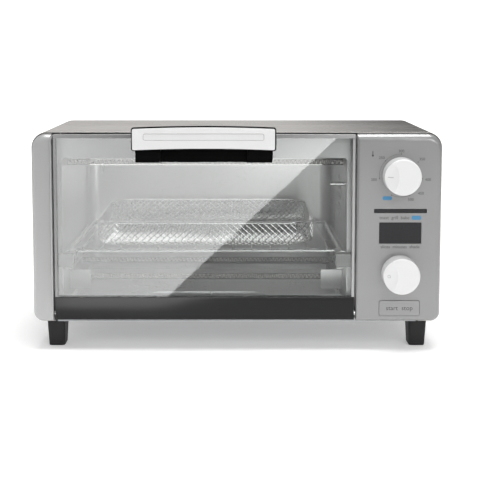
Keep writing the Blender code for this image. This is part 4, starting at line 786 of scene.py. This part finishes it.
refined("door_bottom_rail", finish["railPlastic"], "rail_plastic", 0.0003)
for node in ("door_top_trim", "door_left_trim", "door_right_trim"):
    refined(node, finish["trimPaint"], "bezel_plastic", 0.0003)

handleSettings = dict(
    arch=0.0016, corner=0.0015, edge=0.0005, grooveWidth=0.121, grooveHeight=0.0072, grooveDepth=0.0008,
    grooveShare=0.58, gripCorner=0.0025, gripEdge=0.0008,
)
handleX = boxMiddle("handle_plate").x


def arched(loop, low, high, arch):
    # every point rises by a(1 - (x / half)^2), so both long edges bow upward
    half = (high.x - low.x) / 2
    return np.column_stack([loop[:, 0], loop[:, 1] + arch * (1 - ((loop[:, 0] - handleX) / half) ** 2)])


def longLoopSlab(node, corner, edge, arch, segments=24):
    # like slab, with extra points along both long edges, so that the arch is smooth
    low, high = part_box(node)
    rings = []
    for inset, depth in softProfile(low.y, high.y, edge):
        loop = roundedLoop(low.x + inset, high.x - inset, low.z + inset, high.z - arch - inset, [corner - inset] * 4, 6)
        across = np.linspace(0, 1, segments + 2)[1:-1, None]
        bottom = loop[6] + (loop[7] - loop[6]) * across
        top = loop[20] + (loop[21] - loop[20]) * across
        loop = arched(np.concatenate([loop[:7], bottom, loop[7:21], top, loop[21:]]), low, high, arch)
        rings.append(np.stack([loop[:, 0], np.full(len(loop), depth), loop[:, 1]], axis=1))
    points = np.array(rings)
    rows, cols = points.shape[:2]
    return makePiece(node + "_looks", points, gridFaces(rows, cols, closeCols=True), bothEnds(rows, cols))


def handle(s):
    low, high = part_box("handle_plate")
    plate = longLoopSlab("handle_plate", s["corner"], s["edge"], s["arch"])
    grooveZ = low.z + (high.z - low.z - s["arch"]) * s["grooveShare"] + s["arch"] / 2
    left, right = handleX - s["grooveWidth"] / 2, handleX + s["grooveWidth"] / 2
    bottom, top = grooveZ - s["grooveHeight"] / 2, grooveZ + s["grooveHeight"] / 2
    floorY = low.y + s["grooveDepth"]
    depths = [(-0.0006, low.y - 0.001), (-0.0003, low.y), (0, low.y + 0.0003), (0.0002, floorY)]
    cutWith(plate, slab("groove", "XZ", (left, right, bottom, top), 0.0022, depths, 8))
    dress(plate, "door", "white_plastic", finish["handleWhite"], "handle_plate")
    # an inlay on the groove's floor: a grey edge line, painted shade where the groove's walls shade its floor, round a
    # pale pad
    inlays = (("groove_line", 0.0002, 0.00008, "inkGrey"), ("groove_pad", 0.00065, 0.00016, "handleWhite"))
    for name, inset, lift, look in inlays:
        rect = (left + inset, right - inset, bottom + inset, top - inset)
        inlay = slab("handle_" + name, "XZ", rect, 0.0020 - inset, [(0, floorY - lift), (0, floorY + 0.0001)], 8)
        dress(inlay, "door", "white_plastic", finish[look])
    grip = longLoopSlab("handle_grip", s["gripCorner"], s["gripEdge"], s["arch"])
    dress(grip, "door", "black_plastic", finish["blackPlastic"], "handle_grip")
    refined("handle_base", finish["blackPlastic"], "black_plastic", 0.0005)


handle(handleSettings)
wireParts = {"handle_screw": ("brightWire", 0.0), "rack_hook": ("hookSteel", 0.0002), "hinge_pin": ("brightWire", 0.0)}
for part, (look, edge) in wireParts.items():
    for side in ("left", "right"):
        refined(f"{part}_{side}", finish[look], "bright_wire", edge)



def helix(start, end, middle, radius, steps, turns):
    # along the x axis, with y = r cos t and z = r sin t round the middle
    angle = np.linspace(0, 2 * math.pi * turns, steps)
    along = np.linspace(start, end, steps)
    return np.stack([along, middle.y + radius * np.cos(angle), middle.z + radius * np.sin(angle)], axis=1)


springSettings = dict(turns=5, coil=0.0038, wire=0.0004)
for side in ("left", "right"):
    s, node = springSettings, f"hinge_spring_{side}"
    low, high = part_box(node)
    path = helix(low.x + s["wire"], high.x - s["wire"], boxMiddle(node), s["coil"], 24 * s["turns"] + 1, s["turns"])
    spring = tubes(node + "_looks", path[None], s["wire"], 8, across=(1, 0, 0))
    dress(spring, "root", "bright_wire", finish["brightWire"], node)
print("door done")


# cavity

refined("cavity_front_frame", finish["frameSteel"], "cavity_steel", 0.0002)
sheetEdges = {
    "cavity_left_wall": 0.0002, "cavity_right_wall": 0.0002, "cavity_top": 0.0, "cavity_back_wall": 0.0,
    "crumb_tray": 0.00025,
}
for node, edge in sheetEdges.items():
    refined(node, finish["cavitySteel"], "cavity_steel", edge)

tubeSettings = dict(
    upperRadius=0.0035, lowerRadius=0.0033, end=0.0004, coil=0.0024, wire=0.00062, coilInset=0.002, pitch=0.0044,
    stepsPerTurn=16, cap=0.0055, neck=0.0042, capLength=0.0165,
)
cavityLeft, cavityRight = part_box("cavity_left_wall")[0].x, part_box("cavity_right_wall")[1].x


def element(node, s):
    # a frosted tube closed at both ends, a helix in it, and a stepped ceramic end outside each wall
    middle = boxMiddle(node)
    length, end = cavityRight - cavityLeft, s["end"]
    radius = s["upperRadius"] if node.startswith("upper") else s["lowerRadius"]
    profile = [(0, 0), (radius - end, 0), (radius, end), (radius, length - end), (radius - end, length), (0, length)]
    tube = turned(node + "_tube", profile, (cavityLeft, middle.y, middle.z), (1, 0, 0), 24)
    dress(tube, "root", "quartz", finish["quartz"], node)
    turns = (length - 2 * s["coilInset"]) / s["pitch"]
    start, stop = cavityLeft + s["coilInset"], cavityRight - s["coilInset"]
    path = helix(start, stop, middle, s["coil"], int(turns * s["stepsPerTurn"]), turns)
    coil = tubes(node + "_coil", path[None], s["wire"], 5, across=(1, 0, 0))
    dress(coil, "root", "bright_wire", finish["heatWire"])
    cap, neck, far = s["cap"], s["neck"], s["capLength"]
    rise = [
        (0, 0.0003), (cap - 0.0004, 0.0003), (cap, 0.0007), (cap, 0.009),
        (neck, 0.0095), (neck, far - 0.0006), (neck - 0.0005, far), (0, far),
    ]
    for side, x, name in ((-1, cavityLeft, "left"), (1, cavityRight, "right")):
        piece = turned(f"{node}_cap_{name}", rise, (x, middle.y, middle.z), (side, 0, 0), 24)
        dress(piece, "root", "quartz", finish["ceramic"])


for node in ("upper_front_element", "upper_rear_element", "lower_front_element", "lower_rear_element"):
    element(node, tubeSettings)

rackSettings = dict(wire=0.0019, bar=0.0012, bars=14, corner=0.008, overhang=0.0010, sunk=0.0003)


def rack(s):
    # a closed wire round the outside, and straight bars with domed ends across the top of it
    low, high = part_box("wire_rack")
    x1, x2, y1, y2 = low.x + s["wire"], high.x - s["wire"], low.y + s["wire"], high.y - s["wire"]
    z = low.z + s["wire"]
    loop = roundedLoop(x1, x2, y1, y2, [s["corner"]] * 4, 10)
    outer = np.column_stack([loop, np.full(len(loop), z)])
    rim = tubes("wire_rack_looks", outer[None], s["wire"], 16, closed=True)
    dress(rim, "rack", "bright_wire", finish["brightWire"], "wire_rack")
    pitch = (x2 - x1) / (s["bars"] + 0.4)
    across = (x1 + x2) / 2 + pitch * (np.arange(s["bars"]) - (s["bars"] - 1) / 2)
    turn = np.linspace(0, math.pi / 2, 5)
    start, end = y1 - s["overhang"], y2 + s["overhang"]
    along = np.concatenate([start + s["bar"] * (1 - np.cos(turn)), end - s["bar"] * (1 - np.cos(turn[::-1]))])
    size = np.concatenate([s["bar"] * np.sin(turn), s["bar"] * np.sin(turn[::-1])])
    angle = np.linspace(0, 2 * math.pi, 12, endpoint=False)
    shape = (len(across), len(along), len(angle))
    x = across[:, None, None] + size[None, :, None] * np.cos(angle)
    y = np.broadcast_to(along[None, :, None], shape)
    barZ = z + s["wire"] + s["bar"] - s["sunk"] + size[None, :, None] * np.sin(angle)
    points = np.stack([x, y, np.broadcast_to(barZ, shape)], axis=-1)
    one = gridFaces(len(along), len(angle), closeCols=True)
    faces = (one[None] + (np.arange(len(across)) * len(along) * len(angle))[:, None, None]).reshape(-1, 4)
    bars = makePiece("wire_rack_bars", points, faces)
    dress(bars, "rack", "bright_wire", finish["brightWire"])


rack(rackSettings)

basketSettings = dict(
    corner=0.028, edge=0.008, width=0.0068, height=0.0061, wire=0.00055, rim=0.0015, skin=0.0005, steps=12,
)


def basket(s):
    low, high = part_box("air_fry_basket")
    skin = s["skin"]
    border = s["rim"] + skin
    left, right, front, back = low.x + border, high.x - border, low.y + border, high.y - border
    rimZ = high.z - s["rim"]
    loop = roundedLoop(left, right, front, back, [s["corner"]] * 4, 16)
    ring = np.column_stack([loop, np.full(len(loop), rimZ)])
    rim = tubes("air_fry_basket_rim", ring[None], s["rim"], 12, closed=True)
    dress(rim, "basket", "bright_wire", finish["brightWire"], "air_fry_basket")

    # wall wires: they climb the profile while they run round the outline, half of them each way
    ahead = np.roll(loop, -1, axis=0) - loop
    reach = np.concatenate([[0], np.cumsum(np.linalg.norm(ahead, axis=1))])
    around = reach[-1]
    closedLoop = np.vstack([loop, loop[:1]])
    smooth = np.roll(loop, -1, axis=0) - np.roll(loop, 1, axis=0)
    inward = np.stack([-smooth[:, 1], smooth[:, 0]], axis=1)
    inward /= np.linalg.norm(inward, axis=1, keepdims=True)
    inward = np.vstack([inward, inward[:1]])
    arc = s["edge"] * math.pi / 2
    total = arc + rimZ - low.z - s["edge"]
    count = int(round(around / s["width"]))
    climb = np.linspace(0, total, s["steps"])
    starts = np.arange(count) * around / count
    ways = np.array([1, -1])[:, None, None]
    run = (starts[None, :, None] + ways * climb[None, None, :] * s["width"] / s["height"]) % around
    turn = np.minimum(climb / s["edge"], math.pi / 2)
    inset = s["edge"] * (1 - np.sin(turn)) + skin
    z = low.z + skin + s["edge"] * (1 - np.cos(turn)) + np.maximum(climb - arc, 0)
    x = np.interp(run, reach, closedLoop[:, 0]) + inset * np.interp(run, reach, inward[:, 0])
    y = np.interp(run, reach, closedLoop[:, 1]) + inset * np.interp(run, reach, inward[:, 1])
    paths = np.stack([x, y, np.broadcast_to(z, x.shape)], axis=-1).reshape(-1, s["steps"], 3)
    wall = tubes("air_fry_basket_wall", paths, s["wire"], 5, across=(0, 0, 1))
    dress(wall, "basket", "bright_wire", finish["brightWire"])

    # floor wires: slanted lines cut to where they leave the floor's rounded rectangle
    inner = s["edge"] + skin
    floorLeft, floorRight, floorFront, floorBack = left + inner, right - inner, front + inner, back - inner
    corner = s["corner"] - inner
    sample = np.linspace(floorFront, floorBack, 241)
    slope = s["width"] / s["height"]
    middleY = (floorFront + floorBack) / 2
    lean = (floorBack - floorFront) / 2 * slope
    offsets = np.arange(floorLeft - lean, floorRight + lean, s["width"])
    lineX = offsets[None, :, None] + ways * slope * (sample - middleY)[None, None, :]
    middleX, reachX = (floorLeft + floorRight) / 2, (floorRight - floorLeft) / 2 - corner
    outX = np.maximum(np.abs(lineX - middleX) - reachX, 0)
    outY = np.maximum(np.abs(sample - middleY) - ((floorBack - floorFront) / 2 - corner), 0)
    inside = np.hypot(outX, outY) <= corner
    long = inside.sum(axis=-1) > 3
    first = inside.argmax(axis=-1)
    last = inside.shape[-1] - 1 - inside[..., ::-1].argmax(axis=-1)
    way, line = np.nonzero(long)
    ends = np.stack([first[way, line], last[way, line]], axis=1)
    endX = np.take_along_axis(lineX[way, line], ends, axis=1)
    endY = sample[ends]
    paths = np.stack([endX, endY, np.full(endX.shape, low.z + skin)], axis=-1)
    floor = tubes("air_fry_basket_floor", paths, s["wire"], 6, across=(0, 0, 1))
    dress(floor, "basket", "bright_wire", finish["brightWire"])


basket(basketSettings)

guardSettings = dict(width=0.023, low=0.0520, high=0.0730, thickness=0.0008, wallGap=0.0011, ahead=0.004)
for side, name, wall in ((-1, "left", cavityLeft), (1, "right", cavityRight)):
    # a plate in front of the end of the lower front tube
    s = guardSettings
    wall -= side * s["wallGap"]
    x1, x2 = sorted((wall, wall - side * s["width"]))
    y1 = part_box("lower_front_element")[0].y - s["ahead"]
    profile = softProfile(y1, y1 + s["thickness"], 0.0002, 2)
    guard = slab(f"element_guard_{name}", "XZ", (x1, x2, s["low"], s["high"]), 0.0015, profile, 3)
    dress(guard, "root", "cavity_steel", finish["cavitySteel"])
print("cavity done")


# fan, rear and what stays as it is in the frame

refined("fan_blade", finish["cavitySteel"], "cavity_steel", 0.0)
refined("back_panel", finish["platedSteel"], "plated_steel", 0.0002)
refined("base_pan", finish["platedSteel"], "plated_steel", 0.0)
refined("cord_gland", finish["blackPlastic"], "black_plastic", 0.0)
refined("fan_housing", finish["platedSteel"], "plated_steel", 0.0)

staying = {
    "brightWire": ("temperature_probe", "fan_shaft", "temperature_shaft", "time_shaft"),
    "platedSteel": ("hinge_bracket_left", "hinge_bracket_right"),
    "motorSteel": ("fan_motor", "temperature_encoder", "time_encoder"),
    "blackPlastic": ("display_module", "start_switch"),
    "boardGreen": ("control_board", "power_board"),
}
for name, members in staying.items():
    for node in members:
        nodes[node].data.materials.clear()
        nodes[node].data.materials.append(finish[name])
bare = [
    name for name, item in nodes.items()
    if not item.hide_render and all(name not in group for group in staying.values())
]
print("nodes with no finish:", bare)


# studio

studioSettings = dict(
    floorTone=0.85, floorGlow=0.26, backGlow=0.9, glowStart=0.15, glowEnd=1.6, floorFront=-3.0, floorBend=2.2,
    bendRadius=1.5, backdropTop=4.0, halfWidth=4, worldStrength=0.42, cardStrength=6.5, cardAhead=0.236,
    rearLight=0.66, rearDark=0.04, fadeStart=0.10, fadeEnd=0.34, rearY=1.0, rearHalf=1.8, rearTop=1.2,
)


def floor(s):
    # a flat sheet in front and a long rise behind: z = 0 up to the bend, then a quarter circle
    turn = np.linspace(0, math.pi / 2, 25)[1:]
    y = np.concatenate([[s["floorFront"], s["floorBend"]], s["floorBend"] + s["bendRadius"] * np.sin(turn)])
    z = np.concatenate([np.zeros(2), s["bendRadius"] * (1 - np.cos(turn))])
    y, z = np.append(y, y[-1]), np.append(z, s["backdropTop"])
    x = np.broadcast_to(np.linspace(-s["halfWidth"], s["halfWidth"], 3), (len(y), 3))
    points = np.stack([x, np.broadcast_to(y[:, None], x.shape), np.broadcast_to(z[:, None], x.shape)], axis=-1)
    piece = makePiece("studio_floor", points, gridFaces(len(y), 3), tidy=False)
    piece.data.shade_smooth()
    sheet, shader = startFinish("studioSheet")
    setInputs(shader, {
        "Base Color": (s["floorTone"], s["floorTone"], s["floorTone"], 1),
        "Roughness": 0.9,
        "Specular IOR Level": 0.1,
        "Emission Color": (1, 1, 1, 1),
    })
    rampedGlow(shader, "Y", s["glowStart"], s["glowEnd"], s["floorGlow"], s["backGlow"])
    piece.data.materials.append(sheet)


def rampedGlow(shader, axis, start, end, low, high):
    # the sheet's own light, from low to high along one axis
    tree = shader.id_data
    place = tree.nodes.new("ShaderNodeTexCoord")
    split = tree.nodes.new("ShaderNodeSeparateXYZ")
    tree.links.new(place.outputs["Object"], split.inputs[0])
    tree.links.new(rangeNode(tree, split.outputs[axis], start, end, low, high), shader.inputs["Emission Strength"])


def softbox(name, spot, aim, size, power):
    lamp = bpy.data.lights.new(name, "AREA")
    lamp.shape = "RECTANGLE"
    lamp.size, lamp.size_y = size
    lamp.energy = power
    holder = bpy.data.objects.new(name, lamp)
    holder.location = spot
    holder.rotation_euler = (Vector(aim) - Vector(spot)).to_track_quat("-Z", "Y").to_euler()
    bpy.context.scene.collection.objects.link(holder)


def unseenSheet(name, corners, lookName, glow):
    # a sheet with its own light, seen only in mirror-like surfaces
    sheet = makePiece(name, np.array(corners), np.array([[0, 1, 2, 3]]), tidy=False)
    look, shader = startFinish(lookName)
    setInputs(shader, {"Base Color": (0, 0, 0, 1), "Emission Color": glow})
    sheet.data.materials.append(look)
    sheet.visible_camera = sheet.visible_diffuse = sheet.visible_transmission = False
    sheet.visible_volume_scatter = sheet.visible_shadow = False
    return sheet, shader


def reflectedCard(s):
    # a white card in front of the door, whose slanted edge crosses the pane
    edgeX, topX, top, left = -0.0949, 0.300, 0.3732, -0.223
    y = faceY - s["cardAhead"]
    corners = [(left, y, 0.0), (edgeX, y, 0.0), (topX, y, top), (left, y, top)]
    card, shader = unseenSheet("studio_card", corners, "studioCard", (1, 1, 1, 1))
    shader.inputs["Emission Strength"].default_value = s["cardStrength"]
    receivers = bpy.data.collections.new("cardReceivers")  # only the door's smooth parts pick it up
    for name in ("door_glass_looks", "door_bottom_rail_looks"):
        receivers.objects.link(bpy.data.objects[name])
    card.light_linking.receiver_collection = receivers


def rearSheet(s):
    # a grey sheet behind, which shows along the casing's top; it darkens towards the right
    half, y, top = s["rearHalf"], s["rearY"], s["rearTop"]
    corners = [(-half, y, 0.0), (half, y, 0.0), (half, y, top), (-half, y, top)]
    sheet, shader = unseenSheet("studio_rear_sheet", corners, "studioRearSheet", (1, 0.98, 0.96, 1))
    rampedGlow(shader, "X", s["fadeStart"], s["fadeEnd"], s["rearLight"], s["rearDark"])


floor(studioSettings)
# each light's place, aim, width and height, and power
lights = {
    "keyLight": ((0.1, -0.2, 1.5), (0, 0, 0.1), (1.1, 0.7), 20),
    "leftLight": ((-1.4, -0.6, 0.7), (0, 0, 0.12), (1.0, 1.2), 1.0),
    "frontLight": ((0.5, -1.9, 1.1), (0, 0, 0.1), (1.2, 0.8), 13),
    "cavityLight": ((-0.033, faceY + 0.105, 0.197), (-0.033, faceY + 0.14, 0.05), (0.25, 0.10), 0.09),
}
for name, light in lights.items():
    softbox(name, *light)
reflectedCard(studioSettings)
rearSheet(studioSettings)

world = bpy.data.worlds.new("studio")
world.use_nodes = True
setInputs(world.node_tree.nodes["Background"], {"Color": (1, 1, 1, 1), "Strength": studioSettings["worldStrength"]})
bpy.context.scene.world = world
bpy.context.scene.view_settings.view_transform = "Standard"

cameraSettings = dict(distance=1.31438, height=0.31333, tilt=6.4599, lens=96.713, shiftX=0.00667, shiftY=-0.10)
view = bpy.data.cameras.new("view")
view.lens = cameraSettings["lens"]
view.sensor_width = 36
view.shift_x, view.shift_y = cameraSettings["shiftX"], cameraSettings["shiftY"]
camera = bpy.data.objects.new("view", view)
camera.location = (0, faceY - cameraSettings["distance"], cameraSettings["height"])
camera.rotation_euler = (math.radians(90 - cameraSettings["tilt"]), 0, 0)
bpy.context.scene.collection.objects.link(camera)
bpy.context.scene.camera = camera
print("studio done")
